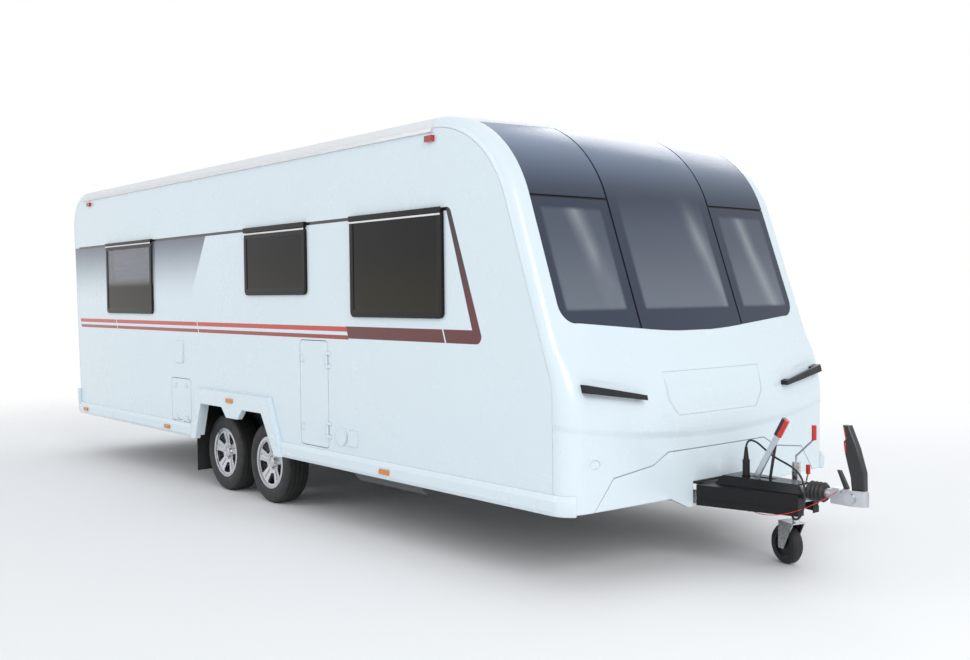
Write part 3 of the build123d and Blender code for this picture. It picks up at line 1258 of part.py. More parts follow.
def coupling_head():
    """Coupling head with the socket for the tow ball and the stabiliser's pad bosses."""
    neck = Pos(NECK_REAR_X + NECK_LENGTH / 2, 0) * Rectangle(NECK_LENGTH, 2 * NECK_HALF)
    head = Pos(BALL_X, 0) * Circle(HEAD_RADIUS)
    tip = Pos(BALL_X + TIP_REACH, 0) * Circle(TIP_RADIUS)
    plan = make_hull([edge for face in (neck, head, tip) for edge in face.edges()])
    body = plan_prism(plan, COUPLING_FOOT_Z, COUPLING_HEAD_Z)
    body = chamfer(body.faces().sort_by(Axis.Z)[-1].edges(), COUPLING_EASE)
    body -= rod((NECK_REAR_X - OVERCUT, 0, HITCH_Z), (NECK_REAR_X + SHAFT_SEAT + FIT_GAP, 0, HITCH_Z),
                SHAFT_RADIUS + FIT_GAP)
    boss_z = (COUPLING_FOOT_Z + COUPLING_HEAD_Z) / 2
    boss = rod((BALL_X, HEAD_RADIUS - COUPLING_EASE, boss_z), (BALL_X, HEAD_RADIUS + PAD_BOSS_OUT, boss_z),
               PAD_BOSS_RADIUS)
    end_x, end_y, end_z = BREAKAWAY_ROUTE[-1]
    lug_x = end_x + LUG_SEAT
    lug = block(lug_x, lug_x + LUG_LENGTH, end_y - LUG_OUT, 0, end_z - LUG_DROP, COUPLING_HEAD_Z)
    socket = rod((BALL_X, 0, COUPLING_FOOT_Z - OVERCUT), (BALL_X, 0, COUPLING_FOOT_Z + SOCKET_DEPTH),
                 BALL_RADIUS + SOCKET_CLEARANCE)
    return body + boss + other_side(boss) + lug - socket


def hitch_handle(outline, half, ease):
    """Handle on the coupling head, from its outline ahead of the ball and above the head."""
    face = polygon(*[(BALL_X + ahead, COUPLING_HEAD_Z + above) for ahead, above in outline])
    handle = side_prism(face, -half, half)
    return chamfer(handle.faces().filter_by(Axis.Y).edges(), ease)


def handbrake():
    """Flat handbrake lever with its grip and the strut that holds it up."""
    lean = math.atan2(HANDBRAKE_RUN, HANDBRAKE_RISE)
    foot = Vector(HANDBRAKE_X, 0, HOUSING_HEAD_Z + HANDBRAKE_WIDE / 2 * math.sin(lean) + FIT_GAP)
    run = Vector(HANDBRAKE_RUN, 0, HANDBRAKE_RISE)
    tip = foot + run
    lever = flat_bar(foot, tip, HANDBRAKE_THICK, HANDBRAKE_WIDE, HANDBRAKE_THICK / 3)
    grip = flat_bar(foot + run * GRIP_SHARE, tip, GRIP_THICK, GRIP_WIDE, GRIP_THICK / 3)
    strut_foot = Vector(STRUT_X, 0, HOUSING_HEAD_Z + STRUT_RADIUS / 2)
    return lever + grip + rod(strut_foot, foot + run * STRUT_SHARE, STRUT_RADIUS)


def cover_plan(margin, rear_x=COVER_REAR_X):
    """Plan of the drawbar cover, drawn in by a margin."""
    return polygon(
        (rear_x, -COVER_REAR_HALF + margin),
        (COVER_FRONT_X - margin, -COVER_FRONT_HALF + margin),
        (COVER_FRONT_X - margin, COVER_FRONT_HALF - margin),
        (rear_x, COVER_REAR_HALF - margin),
    )


def spine_plan(margin):
    """Plan of the raised middle of the drawbar cover, drawn in by a margin."""
    rear_x = COVER_REAR_X + SPINE_SETBACK + margin
    front_x = COVER_FRONT_X - SPINE_LIP - margin
    return polygon(
        (rear_x, -SPINE_REAR_HALF + margin),
        (front_x, -SPINE_FRONT_HALF + margin / 2),
        (front_x, SPINE_FRONT_HALF - margin / 2),
        (rear_x, SPINE_REAR_HALF - margin),
    )


def spine(margin, z0, z1):
    """Raised middle of the drawbar cover between two heights, drawn in by a margin."""
    return loft([Pos(0, 0, z0) * spine_plan(margin), Pos(0, 0, z1) * spine_plan(margin + SPINE_SLOPE)])


def build_cover():
    """Black moulded cover over the drawbar."""
    inner_z = COVER_EDGE_Z - COVER_SKIN
    top_z = COVER_EDGE_Z + SPINE_RISE
    skin = plan_prism(cover_plan(0), COVER_FOOT_Z, COVER_EDGE_Z) + spine(0, COVER_EDGE_Z, top_z)
    skin -= plan_prism(cover_plan(COVER_SKIN, COVER_REAR_X - OVERCUT), COVER_FOOT_Z - OVERCUT, inner_z)
    skin -= spine(COVER_SKIN, inner_z - OVERCUT, top_z - COVER_SKIN)
    skin -= plan_prism(cover_plan(-OVERCUT) - cover_plan(COVER_GROOVE), *COVER_GROOVE_Z)
    taper = (COVER_REAR_HALF - COVER_FRONT_HALF) / (COVER_FRONT_X - COVER_REAR_X)
    for x in COVER_RIBS:
        half = COVER_REAR_HALF - (x - COVER_REAR_X) * taper - COVER_SKIN / 2
        skin += block(x, x + COVER_SKIN, -half, half, SILL_Z + FIT_GAP, inner_z + OVERCUT)
    room = HOUSING_HALF + COVER_ROOM
    skin -= block(COVER_REAR_X + SPINE_SETBACK, HOUSING_FRONT_X, -room, room, 0, HOUSING_HEAD_Z + COVER_ROOM)
    slot = HANDBRAKE_THICK / 2 + SLOT_ROOM
    skin -= block(HANDBRAKE_X - HANDBRAKE_WIDE, STRUT_X + HANDBRAKE_WIDE, -slot, slot, SILL_Z, top_z + OVERCUT)
    clamp = JOCKEY_TUBE_RADIUS + CLAMP_SKIN + CLAMP_ROOM
    skin -= block(JOCKEY_X - clamp, JOCKEY_X + clamp, 0, HALF, 0, SILL_Z + COVER_ROOM)
    x, y, _ = PLUG_ROUTE[0]
    holder = rod((x, y, top_z - OVERCUT), (x, y, top_z + PLUG_HOLDER_RISE), PLUG_HOLDER_RADIUS)
    save("drawbar_cover", skin + holder)


def jockey_wheel_profile():
    """Half section of the jockey wheel, as radius and width."""
    side = JOCKEY_WIDTH / 2
    shoulder = JOCKEY_RADIUS - JOCKEY_SHOULDER
    half = ((JOCKEY_PIN_RADIUS + FIT_GAP, side - JOCKEY_DISC / 2), (JOCKEY_TYRE_INNER, side - JOCKEY_DISC),
            (JOCKEY_TYRE_INNER, side), (shoulder, side), (JOCKEY_RADIUS, side - JOCKEY_TREAD_EDGE))
    return polygon(*half, *[(radius, -y) for radius, y in reversed(half)])


def build_jockey():
    """Jockey wheel: clamped outer tube, swivelling leg, its wheel and both handles."""
    axis = (JOCKEY_X, JOCKEY_Y)
    head = JOCKEY_TUBE_HEAD_Z
    tube = rod((*axis, JOCKEY_TUBE_FOOT_Z), (*axis, head), JOCKEY_TUBE_RADIUS)
    tube -= rod((*axis, JOCKEY_TUBE_FOOT_Z - OVERCUT), (*axis, head - JOCKEY_CAP), JOCKEY_LEG_RADIUS + FIT_GAP)
    rear_x, front_x = JOCKEY_X - CLAMP_HALF, JOCKEY_X + CLAMP_HALF
    clamp = plan_prism(polygon((rear_x, arm_face_y(rear_x)), (front_x, arm_face_y(front_x)),
                               (front_x, JOCKEY_Y + CLAMP_IN), (rear_x, JOCKEY_Y + CLAMP_IN)),
                       RAIL_FOOT_Z + CLAMP_IN, SILL_Z - CLAMP_RISE)
    ring = JOCKEY_TUBE_RADIUS + CLAMP_SKIN
    clamp += rod((*axis, RAIL_FOOT_Z), (*axis, SILL_Z + CLAMP_RISE), ring)
    clamp -= rod((*axis, 0), (*axis, ROOF_Z), JOCKEY_TUBE_RADIUS - OVERCUT)
    save("jockey_tube", tube + clamp)

    swivel = Pos(*axis, 0) * Rot(0, 0, JOCKEY_TURN)
    side = JOCKEY_WIDTH / 2 + JOCKEY_SIDE_GAP
    outer = side + FORK_PLATE
    leg = rod((0, 0, JOCKEY_CROWN_Z), (0, 0, SILL_Z), JOCKEY_LEG_RADIUS)
    hub_x = -JOCKEY_TRAIL
    leg += block(hub_x - FORK_END, FORK_FRONT, -outer, outer, JOCKEY_CROWN_Z - FORK_PLATE, JOCKEY_CROWN_Z)
    eye_z = JOCKEY_RADIUS - FORK_END
    cheek = polygon((hub_x - FORK_END, eye_z), (hub_x + FORK_END, eye_z), (FORK_FRONT, JOCKEY_CROWN_Z),
                    (hub_x - FORK_END, JOCKEY_CROWN_Z))
    leg += side_prism(cheek, side, outer) + side_prism(cheek, -outer, -side)
    leg += rod((hub_x, -outer, JOCKEY_RADIUS), (hub_x, outer, JOCKEY_RADIUS), JOCKEY_PIN_RADIUS)
    save("jockey_leg", swivel * leg)
    save("jockey_wheel", swivel * Pos(hub_x, 0, JOCKEY_RADIUS) * revolve(jockey_wheel_profile(), Axis.Y))

    knob_x = JOCKEY_X + KNOB_REACH
    knob_z = head + KNOB_RISE
    crank = rod((*axis, head), (*axis, head + CRANK_RISE), CRANK_RADIUS)
    crank += rod((*axis, head + CRANK_RISE - CRANK_RADIUS), (knob_x, JOCKEY_Y, knob_z + CRANK_RADIUS),
                 CRANK_RADIUS)
    crank += rod((knob_x, JOCKEY_Y, knob_z), (knob_x, JOCKEY_Y, knob_z + KNOB_LENGTH), KNOB_RADIUS)

    stub_z = SILL_Z - CLAMP_STUB_DROP
    stub_x = max(front_x, JOCKEY_X + ring) + FIT_GAP
    elbow = Vector(stub_x + CLAMP_STUB, JOCKEY_Y, stub_z)
    grip = Vector(stub_x + CLAMP_ARM_REACH, JOCKEY_Y, SILL_Z + CLAMP_ARM_RISE)
    handle = rod((stub_x, JOCKEY_Y, stub_z), elbow, CLAMP_ARM_RADIUS)
    handle += rod(elbow - Vector(CLAMP_ARM_RADIUS, 0, 0), grip, CLAMP_ARM_RADIUS)
    handle += rod(grip, grip + Vector(0, 0, CLAMP_KNOB_LENGTH), CLAMP_KNOB_RADIUS)
    save("jockey_crank", crank, handle)


def steady_leg(x, y, way):
    """One folded corner steady, from its pivot to the pad at its foot."""
    half = STEADY_WIDTH / 2
    z = STEADY_PIVOT_Z
    x0, x1 = sorted((x, x + way * STEADY_LENGTH))
    leg = block(x0, x1, y - half, y + half, z - STEADY_DEPTH / 2, z + STEADY_DEPTH / 2)
    leg += rod((x, y - half, z), (x, y + half, z), STEADY_DEPTH / 2)
    pad_x = x + way * STEADY_LENGTH
    thick, wide, below, above = STEADY_PAD
    leg += block(pad_x - thick / 2, pad_x + thick / 2, y - wide / 2, y + wide / 2, z - below, z + above)
    return leg - rod((x, y - half - OVERCUT, z), (x, y + half + OVERCUT, z), STEADY_PIN + FIT_GAP)


def steady_bracket(x, y):
    """Two cheeks under the floor and the pin through them."""
    z = STEADY_PIVOT_Z
    inner = STEADY_WIDTH / 2 + RUNNING_GAP
    outer = inner + BRACKET_PLATE
    foot = z - BRACKET_DROP
    bracket = block(x - BRACKET_HALF, x + BRACKET_HALF, y + inner, y + outer, foot, SILL_Z)
    bracket += block(x - BRACKET_HALF, x + BRACKET_HALF, y - outer, y - inner, foot, SILL_Z)
    return bracket + rod((x, y - outer, z), (x, y + outer, z), STEADY_PIN)


def build_steadies():
    """Corner steadies folded under the floor, and the brackets that carry them."""
    brackets = []
    for end, x, way in STEADIES:
        for name, side in (("offside", -1), ("nearside", 1)):
            save("steady_" + end + "_" + name, steady_leg(x, side * STEADY_Y, way))
            brackets.append(steady_bracket(x, side * STEADY_Y))
    save("steady_brackets", *brackets)


def cable(route, diameter):
    """Round cable along straight runs that are joined by the largest bends they allow."""
    points = [Vector(*point) for point in route]
    radii = []
    for before, at, after in zip(points, points[1:], points[2:]):
        first, second = at - before, after - at
        turn = math.radians(first.get_angle(second))
        radii.append(BEND_SHARE * min(first.length, second.length) / math.tan(turn / 2))
    path = FilletPolyline(*points, radius=radii)
    tube = sweep(Plane(origin=points[0], z_dir=points[1] - points[0]) * Circle(diameter / 2), path=path)
    print("cable length", round(path.length), "bend radii", [round(radius) for radius in radii])
    print("volume ratio", round(tube.volume / (path.length * math.pi * diameter ** 2 / 4), 4))
    return tube


def build_cables():
    """Road-lamp cable with its parked plug, and the brake breakaway cable."""
    x, y, top = PLUG_ROUTE[0]
    foot = COVER_EDGE_Z + SPINE_RISE + PLUG_HOLDER_RISE + FIT_GAP
    neck = foot + PLUG_BODY
    plug = rod((x, y, foot), (x, y, neck), PLUG_RADIUS)
    plug += loft([Pos(x, y, neck) * Circle(PLUG_NECK), Pos(x, y, top - CABLE_SEAT) * Circle(PLUG_TIP)])
    save("road_plug", plug)
    save("road_plug_cable", cable(PLUG_ROUTE, PLUG_CABLE))
    save("breakaway_cable", cable(BREAKAWAY_ROUTE, BREAKAWAY_CABLE))


os.makedirs("parts", exist_ok=True)
build_shell()
build_front()
build_doors()
build_inside()
build_trim()
build_running_gear()
build_chassis()
build_cover()
build_jockey()
build_steadies()
build_cables()
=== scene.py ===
import bmesh
import bpy
import math
from mathutils import Matrix, Vector


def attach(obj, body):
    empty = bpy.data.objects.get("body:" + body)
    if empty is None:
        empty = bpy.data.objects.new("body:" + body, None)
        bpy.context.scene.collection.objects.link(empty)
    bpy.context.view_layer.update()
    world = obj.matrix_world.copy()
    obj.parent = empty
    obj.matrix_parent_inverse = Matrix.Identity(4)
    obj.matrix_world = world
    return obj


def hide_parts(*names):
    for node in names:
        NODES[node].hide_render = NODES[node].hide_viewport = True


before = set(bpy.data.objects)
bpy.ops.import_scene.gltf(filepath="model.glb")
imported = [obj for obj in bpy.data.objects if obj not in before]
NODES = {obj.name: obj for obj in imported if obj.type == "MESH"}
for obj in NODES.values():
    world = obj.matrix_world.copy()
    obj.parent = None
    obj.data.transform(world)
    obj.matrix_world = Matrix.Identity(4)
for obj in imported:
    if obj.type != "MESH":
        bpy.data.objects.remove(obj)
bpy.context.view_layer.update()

# Twin-axle touring caravan. Metres. +X runs forward to the coupling, +Y to the nearside, +Z up.
# Lengths along the caravan are stations from the foot of its rear wall, moved by STATION_MID.
STATION_MID = 3.766127
HALF_WIDTH = 1.140
WALL = 0.032
PANE_PROUD = 0.014

# Shading: degrees above which an edge stays sharp, distance at which points join, usual span of a noise
SMOOTH_ANGLE = 24.0
WELD = 0.00001
NOISE_SPAN = (0.3, 0.7)

# Camera
CAMERA_PLACE = (6.741, -4.841, 1.518)
CAMERA_AZIMUTH = 49.82
CAMERA_TILT = 1.97
CAMERA_ROLL = -0.59
CAMERA_LENS = 39.59
CAMERA_FAR = 200.0
SENSOR_WIDTH = 36.0

# Studio: lamp name, place, point it faces, size, power
LAMPS = (
    ("key", (12.0, -4.5, 6.5), (2.0, 0.0, 1.0), 6.0, 520.0),
    ("side", (-4.0, -11.0, 6.0), (-1.0, -1.0, 1.2), 7.0, 190.0),
    ("back", (-2.0, 9.0, 7.0), (0.0, 0.0, 1.5), 7.0, 260.0),
)
DOME_LIGHT = 0.72
DOME_TINT = (0.93, 0.96, 1.0, 1)
BACKDROP_TINT = (1, 1, 1, 1)
FLOOR_RADIUS = 16.0
FLOOR_FADE = (5.0, 10.5)
FLOOR_TINTS = (0.94, 0.94, 0.94, 1), (0.96, 0.96, 0.96, 1)

# Colours
WHITE = (0.72, 0.82, 0.87)
BLACK = (0.016, 0.016, 0.018, 1)
RED = (0.62, 0.03, 0.022, 1)
SHADE_TINT = (0.055, 0.068, 0.120, 1)
LINE_TINT = (0.012, 0.013, 0.018, 1)
UPPER_STRIPE_TINT = (0.56, 0.045, 0.026, 1)
LOWER_STRIPE_TINT = (0.33, 0.030, 0.024, 1)
BAND_TINT = (0.115, 0.010, 0.011, 1)
LEG_TINT = (0.012, 0.009, 0.014, 1)
# Dark tint of the front glazing, and the painted reflection that pales it towards the roof
WRAP_TINT_AND_REFLECTION = (0.030, 0.041, 0.068, 1), (0.21, 0.28, 0.40, 1)
# Sight of the front panes, darker above: the lighter tint is partly clear glass, partly painted light from
# inside
SIGHT_GLASS_AND_INSIDE_LIGHT_TINTS = (0.085, 0.105, 0.150, 1), (0.17, 0.20, 0.245, 1)
# Painted highlight: streaks of reflected light on the front panes
STREAK_HIGHLIGHT_TINT = (0.44, 0.47, 0.50, 1)
SIDE_GLASS_TINTS = (0.006, 0.007, 0.006, 1), (0.030, 0.024, 0.008, 1)
REAR_GLASS_TINT = (0.55, 0.57, 0.63, 1)
LEVER_PLATE = (0.62, 0.64, 0.67, 1)
CRANK_PLATE = (0.60, 0.61, 0.64, 1)
RUBBER_TINTS = (0.018, 0.018, 0.020, 1), (0.034, 0.033, 0.033, 1)
# Painted shade in the tread's grooves and slits
TREAD_GROOVE_SHADE_TINT = (0.004, 0.004, 0.004, 1)

# Side graphics in stations and heights: dark line, shaded field under it, two stripes, band with a leg
LINE_FOOT_Z, LINE_HEAD_Z = 1.983, 2.004
LINE_ENDS = (0.02, 5.835)
SHADE_FOOT_Z, SHADE_HEAD_Z = 1.47, 1.995
SHADE_FADE_PAST = 0.1
SHADE_EDGE_FOOT, SHADE_EDGE_HEAD = (2.478, 1.489), (2.787, 2.007)
UPPER_STRIPE_Z = (1.283, 1.315)
LOWER_STRIPE_Z = (1.233, 1.260)
STRIPE_ENDS = (0.04, 4.78)
STRIPE_GAPS = (0.95, 2.62, 5.78)
STRIPE_GAP_HALF = 0.006
STRIPE_LEAN = -0.35
BAND_FOOT_Z, BAND_HEAD_Z = 1.240, 1.317
BAND_END = 6.055
LEG_FOOT, LEG_HEAD = (6.055, 1.300), (5.815, 1.995)
LEG_HALF_FOOT, LEG_HALF_HEAD = 0.034, 0.019
EDGE_SOFT = 0.0012
MARK_SOFT = 0.001

# Rounded corners of the graphics: station, height, radius; the upper one starts this far above its centre
FOOT_CORNER = (6.0489, 1.285, 0.045)
HEAD_CORNER = (5.7989, 1.959, 0.045)
HEAD_CORNER_START = (0.0137, 0.0147)

# Soft forms of the nose, in widths and heights: crease right across, brow over each handle, sunk panel
SKIN_EDGE_RADIUS = 0.007
CREASE_Z, CREASE_RISE, CREASE_REACH = 0.735, 0.065, 0.9
CREASE_SOFT, CREASE_STEP = 0.022, 0.007
BROW_Y, BROW_Z, BROW_SLOPE = 0.626, 1.016, 0.166
BROW_ENDS, BROW_END_SOFT = (0.76, 0.96), 0.08
BROW_SOFT, BROW_STEP = 0.012, 0.005
SUNK_FOOT_Z, SUNK_FOOT_HALF, SUNK_FLARE, SUNK_HALF = 0.850, 0.345, 0.79, 0.416
SUNK_FOOT_FADE, SUNK_HEAD_FADE = (0.832, 0.872), (1.085, 0.98)
SUNK_SOFT, SUNK_DEPTH = 0.020, 0.008

# Front panes: heights where a painted reflection pales the tint, the sight, whose lighter tint is partly
# painted light from inside, and painted streaks of light as places across at mid height
WRAP_REFLECTION_FADE = (2.0, 2.55)
SIGHT_FOOT = (1.415, 1.44)
SIGHT_INSIDE_LIGHT_FADE = (1.95, 1.40)
SIGHT_EDGE = 0.03
SIGHT_CLEAR = 0.25
HIGHLIGHT_STREAKS = (-0.66, 0.30, 0.78)
STREAK_MID_Z, STREAK_LEAN = 1.7, 0.25
STREAK_HALF, STREAK_SOFT = 0.02, 0.09
STREAK_BREAKS = (0.25, 0.65)

# Side windows: rear edge, front edge, foot, head
OFFSIDE_WINDOWS = ((0.750, 1.770, 1.372, 1.985), (3.430, 4.290, 1.520, 1.970), (4.830, 5.775, 1.377, 2.005))
NEARSIDE_WINDOWS = ((0.750, 1.770, 1.372, 1.985), (2.700, 3.400, 1.520, 1.970), (4.830, 5.775, 1.377, 2.005))
DOOR_WINDOW = (4.190, 4.550, 1.480, 2.080)
SIDES = (("offside", -1, OFFSIDE_WINDOWS), ("nearside", 1, NEARSIDE_WINDOWS))
SIDE_GLASS_FADE = (1.85, 1.40)
REAR_GLASS_END, REAR_GLASS_FOOT = (1.95, 2.0), (1.60, 1.70)
SIDE_CLEAR, REAR_CLEAR = 0.4, 0.5

# Window borders: the section is inset from the pane's edge and height above its face
WINDOW_CORNER = 0.036
LEAST_CORNER = 0.006
WINDOW_BORDER = 0.044
BORDER_EASE = 0.006
BORDER_SECTION = (
    (0.0, -0.004), (0.0, 0.002), (BORDER_EASE, 0.005),
    (WINDOW_BORDER - BORDER_EASE, 0.005), (WINDOW_BORDER, 0.002), (WINDOW_BORDER, -0.0006),
)

# Rails along the windows' heads, dark and bright; a pane that passes the line has them on its border
RAIL_HEAD_Z = 2.0075
RAIL_OUT = 0.025
RAIL_GAP = 0.001
RAIL_ON_PANE = 0.030
RAIL_PANE_GAP = 0.0045
RAIL_END_IN, RAIL_EASE = 0.002, 0.0025
SILVER_TALL, SILVER_THICK = 0.012, 0.007
SILVER_DROP, SILVER_DROP_ON_PANE = 0.009, 0.039
SILVER_OUT = 0.0085
SILVER_END_IN, SILVER_EASE = 0.008, 0.002

# Pleated blinds
BLIND_PLEAT, BLIND_FOLD = 0.02, 0.006
BLIND_MARGIN, BLIND_BACK = 0.03, 0.02
BLIND_SHARE = 0.55

# Running gear: station and side of each wheel
WHEELS = {"rear_offside": (2.842, -1), "front_offside": (3.544, -1),
          "rear_nearside": (2.842, 1), "front_nearside": (3.544, 1)}
WHEEL_Y = 0.957
TYRE_RADIUS = 0.296
TREAD_EDGE = (0.022, 0.012)
TREAD_PITCH, GROOVE_LEVEL = 0.034, 0.62
SLIT_COUNT, SLIT_SLANT, SLIT_LEVEL = 92.0, 130.0, 0.86
WALL_RING_PITCH, WALL_RING_SHARE = 0.011, 0.12
TREAD_DEPTH = 0.005
HUB_FACE = 0.064
NUT_COUNT, NUT_START, NUT_CIRCLE = 5, 54.0, 0.046
NUT_FOOT, NUT_HEAD, NUT_TALL, NUT_SUNK = 0.0095, 0.0085, 0.018, 0.008
HUB_RING = ((0.036, -0.003), (0.036, 0.002), (0.031, 0.004), (0.029, 0.002), (0.029, -0.003))
HUB_RING_STEPS = 36

# Drawbar fittings: stations and heights of the handbrake's foot and tip, and of the coupling's ball and head
HANDBRAKE_FOOT, HANDBRAKE_TIP = (7.050, 0.509), (7.235, 0.834)
GRIP_SHARE = 0.72
GRIP_FRONT, STRUT_FRONT = 0.002, 0.019
COUPLING_BALL, COUPLING_HEAD = 7.640, 0.515
CLAMP_KNOB = (0.517, 0.573)
CRANK_KNOB = 0.705

# Tall coupling handle: tip and lean of its rear edge, and its inserts, from the ball and the head
HITCH_TIP_X, HITCH_TIP_Z, HITCH_LEAN = -0.062, 0.321, -0.197
INSERT_DEEP = 0.010
UPPER_INSERT_Z = (0.252, 0.312)
LOWER_INSERT_X, LOWER_INSERT_Z = (-0.07, -0.042), (0.182, 0.236)

# Free cables, as points of station, width and height in millimetres, which a smooth curve follows.
# The cut is not used.
MM_IN_METRE = 1000
PLUG_CABLE, PLUG_CUT = 11.0, 0.985
PLUG_ROUTE = (
    (6996, -20, 668), (6999, -17, 692), (7015, -4, 706), (7042, 17, 692), (7073, 34, 660), (7112, 44, 629),
    (7161, 46, 607), (7215, 36, 593), (7269, 14, 580), (7320, -17, 565), (7366, -54, 545), (7403, -88, 514),
    (7427, -118, 470), (7435, -138, 421), (7421, -140, 374), (7388, -126, 343), (7346, -98, 336),
    (7314, -66, 350), (7301, -39, 375), (7300, -36, 404),
)
BREAKAWAY_CABLE, BREAKAWAY_CUT = 4.0, 0.998
BREAKAWAY_ROUTE = (
    (7095, -112, 345), (7134, -122, 339), (7184, -130, 338), (7236, -131, 344), (7288, -125, 354),
    (7338, -116, 369), (7388, -106, 390), (7436, -94, 414), (7480, -81, 440), (7520, -69, 466),
    (7555, -61, 491), (7577, -57, 509),
)

# Cushions: name, lowest and highest corner, axis that crowns, way it crowns
CUSHIONS = (
    ("seat_cushion_offside", (4.742, -1.106, 0.781), (6.248, -0.482, 0.918), 2, 1),
    ("seat_cushion_nearside", (4.742, 0.482, 0.781), (6.248, 1.106, 0.918), 2, 1),
    ("back_cushion_offside", (4.742, -1.106, 0.922), (6.248, -0.970, 1.318), 1, 1),
    ("back_cushion_nearside", (4.742, 0.970, 0.922), (6.248, 1.106, 1.318), 1, -1),
    ("mattress", (0.192, -1.106, 0.761), (1.898, 0.428, 0.898), 2, 1),
)
CUSHION_CUTS = 22
CROWN_SHARE, CROWN_POWER = 0.28, 5
WAIST_PULL = 0.012
CROWN_PULL, CROWN_PULL_POWER = 0.02, 6
SIDE_PULL, SIDE_PULL_POWER = 0.008, 8


def at(station, y, z):
    """Point of the frame from a station, width and height in metres."""
    return Vector((station - STATION_MID, y, z))


class Paint:
    """A node material that is built up step by step in an object's own coordinates."""

    def __init__(self, name, **sockets):
        self.material = bpy.data.materials.new(name)
        self.material.use_nodes = True
        self.tree = self.material.node_tree
        self.shader = self.tree.nodes["Principled BSDF"]
        for socket, value in sockets.items():
            self.shader.inputs[socket.replace("_", " ")].default_value = value
        self.place = self.node("ShaderNodeTexCoord").outputs["Object"]
        split = self.node("ShaderNodeSeparateXYZ")
        self.tree.links.new(self.place, split.inputs[0])
        self.x, self.y, self.z = split.outputs

    def node(self, kind, **settings):
        """New node with its settings."""
        made = self.tree.nodes.new(kind)
        for key, value in settings.items():
            setattr(made, key, value)
        return made

    def feed(self, socket, value):
        """Put a number, a colour or another node's result on a socket."""
        if isinstance(value, bpy.types.NodeSocket):
            self.tree.links.new(value, socket)
        else:
            socket.default_value = value

    def math(self, operation, a, b=0.0):
        """Result of a math node on one or two values."""
        made = self.node("ShaderNodeMath", operation=operation)
        self.feed(made.inputs[0], a)
        self.feed(made.inputs[1], b)
        return made.outputs[0]

    def add(self, a, b):
        """Sum of two values."""
        return self.math("ADD", a, b)

    def less(self, a, b):
        """First value less the second."""
        return self.math("SUBTRACT", a, b)

    def times(self, first, *others):
        """Product of values, or the area that masks share."""
        for other in others:
            first = self.math("MULTIPLY", first, other)
        return first

    def most(self, a, b):
        """Larger of two values, or the area of either mask."""
        return self.math("MAXIMUM", a, b)

    def size(self, value):
        """Value without its sign."""
        return self.math("ABSOLUTE", value)

    def flip(self, mask):
        """1 where a mask is 0, and 0 where it is 1."""
        return self.less(1.0, mask)

    def line(self, value, start, slope, base=0.0):
        """Straight line that is at its base where the value is at the start."""
        return self.add(self.times(self.less(value, start), slope), base)

    def reach(self, a, b):
        """Distance that two values at right angles make."""
        return self.math("SQRT", self.add(self.times(a, a), self.times(b, b)))

    def wave(self, value, pitch, kind="SINE"):
        """Wave along a value."""
        return self.math(kind, self.times(value, 2 * math.pi / pitch))

    def ramp(self, value, low, high):
        """0 at low and 1 at high, smoothly between."""
        made = self.node("ShaderNodeMapRange", interpolation_type="SMOOTHSTEP")
        for socket, number in zip(made.inputs[:3], (value, low, high)):
            self.feed(socket, number)
        return made.outputs[0]

    def above(self, value, limit, soft=EDGE_SOFT):
        """1 above a limit and 0 below it."""
        return self.ramp(value, limit - soft, limit + soft)

    def below(self, value, limit, soft=EDGE_SOFT):
        """1 below a limit and 0 above it."""
        return self.flip(self.above(value, limit, soft))

    def between(self, value, low, high, soft=EDGE_SOFT):
        """1 between two limits and 0 outside them."""
        return self.math("MINIMUM", self.above(value, low, soft), self.below(value, high, soft))

    def noise(self, scale, detail=3.0, stretch=(1, 1, 1)):
        """Cloudy value between 0 and 1."""
        mapping = self.node("ShaderNodeMapping")
        mapping.inputs["Scale"].default_value = stretch
        self.feed(mapping.inputs["Vector"], self.place)
        made = self.node("ShaderNodeTexNoise")
        self.feed(made.inputs["Vector"], mapping.outputs[0])
        made.inputs["Scale"].default_value = scale
        made.inputs["Detail"].default_value = detail
        return made.outputs["Fac"]

    def mix(self, factor, a, b):
        """Colour a where the factor is 0, and b where it is 1."""
        made = self.node("ShaderNodeMix", data_type="RGBA")
        self.feed(made.inputs[0], factor)
        self.feed(made.inputs[6], a)
        self.feed(made.inputs[7], b)
        return made.outputs[2]

    def bump(self, height, distance):
        """Relief on top of what the surface already has."""
        made = self.node("ShaderNodeBump")
        made.inputs["Strength"].default_value = 1.0
        made.inputs["Distance"].default_value = distance
        self.feed(made.inputs["Height"], height)
        normal = self.shader.inputs["Normal"]
        if normal.is_linked:
            self.feed(made.inputs["Normal"], normal.links[0].from_socket)
        self.feed(normal, made.outputs[0])

    def colour(self, value):
        """Colour of the surface."""
        self.feed(self.shader.inputs["Base Color"], value)

    def rough(self, low, high, scale):
        """Roughness that drifts between two values."""
        made = self.node("ShaderNodeMapRange")
        self.feed(made.inputs[0], self.noise(scale))
        for socket, number in zip(made.inputs[1:5], (*NOISE_SPAN, low, high)):
            socket.default_value = number
        self.feed(self.shader.inputs["Roughness"], made.outputs[0])


def shade(colour, factor):
    """A colour made lighter or darker, with its alpha."""
    return tuple(min(1.0, part * factor) for part in colour[:3]) + (1.0,)


def plain(name, colour, low, high, drift, grain=0.0, **sockets):
    """Painted or moulded surface whose colour and gloss drift a little, with a fine grain."""
    paint = Paint(name, **sockets)
    paint.colour(paint.mix(paint.noise(2.3), shade(colour, 1 - drift), shade(colour, 1 + drift)))
    paint.rough(low, high, 5.0)
    if grain:
        paint.bump(paint.noise(900.0, 2.0), grain)
    return paint


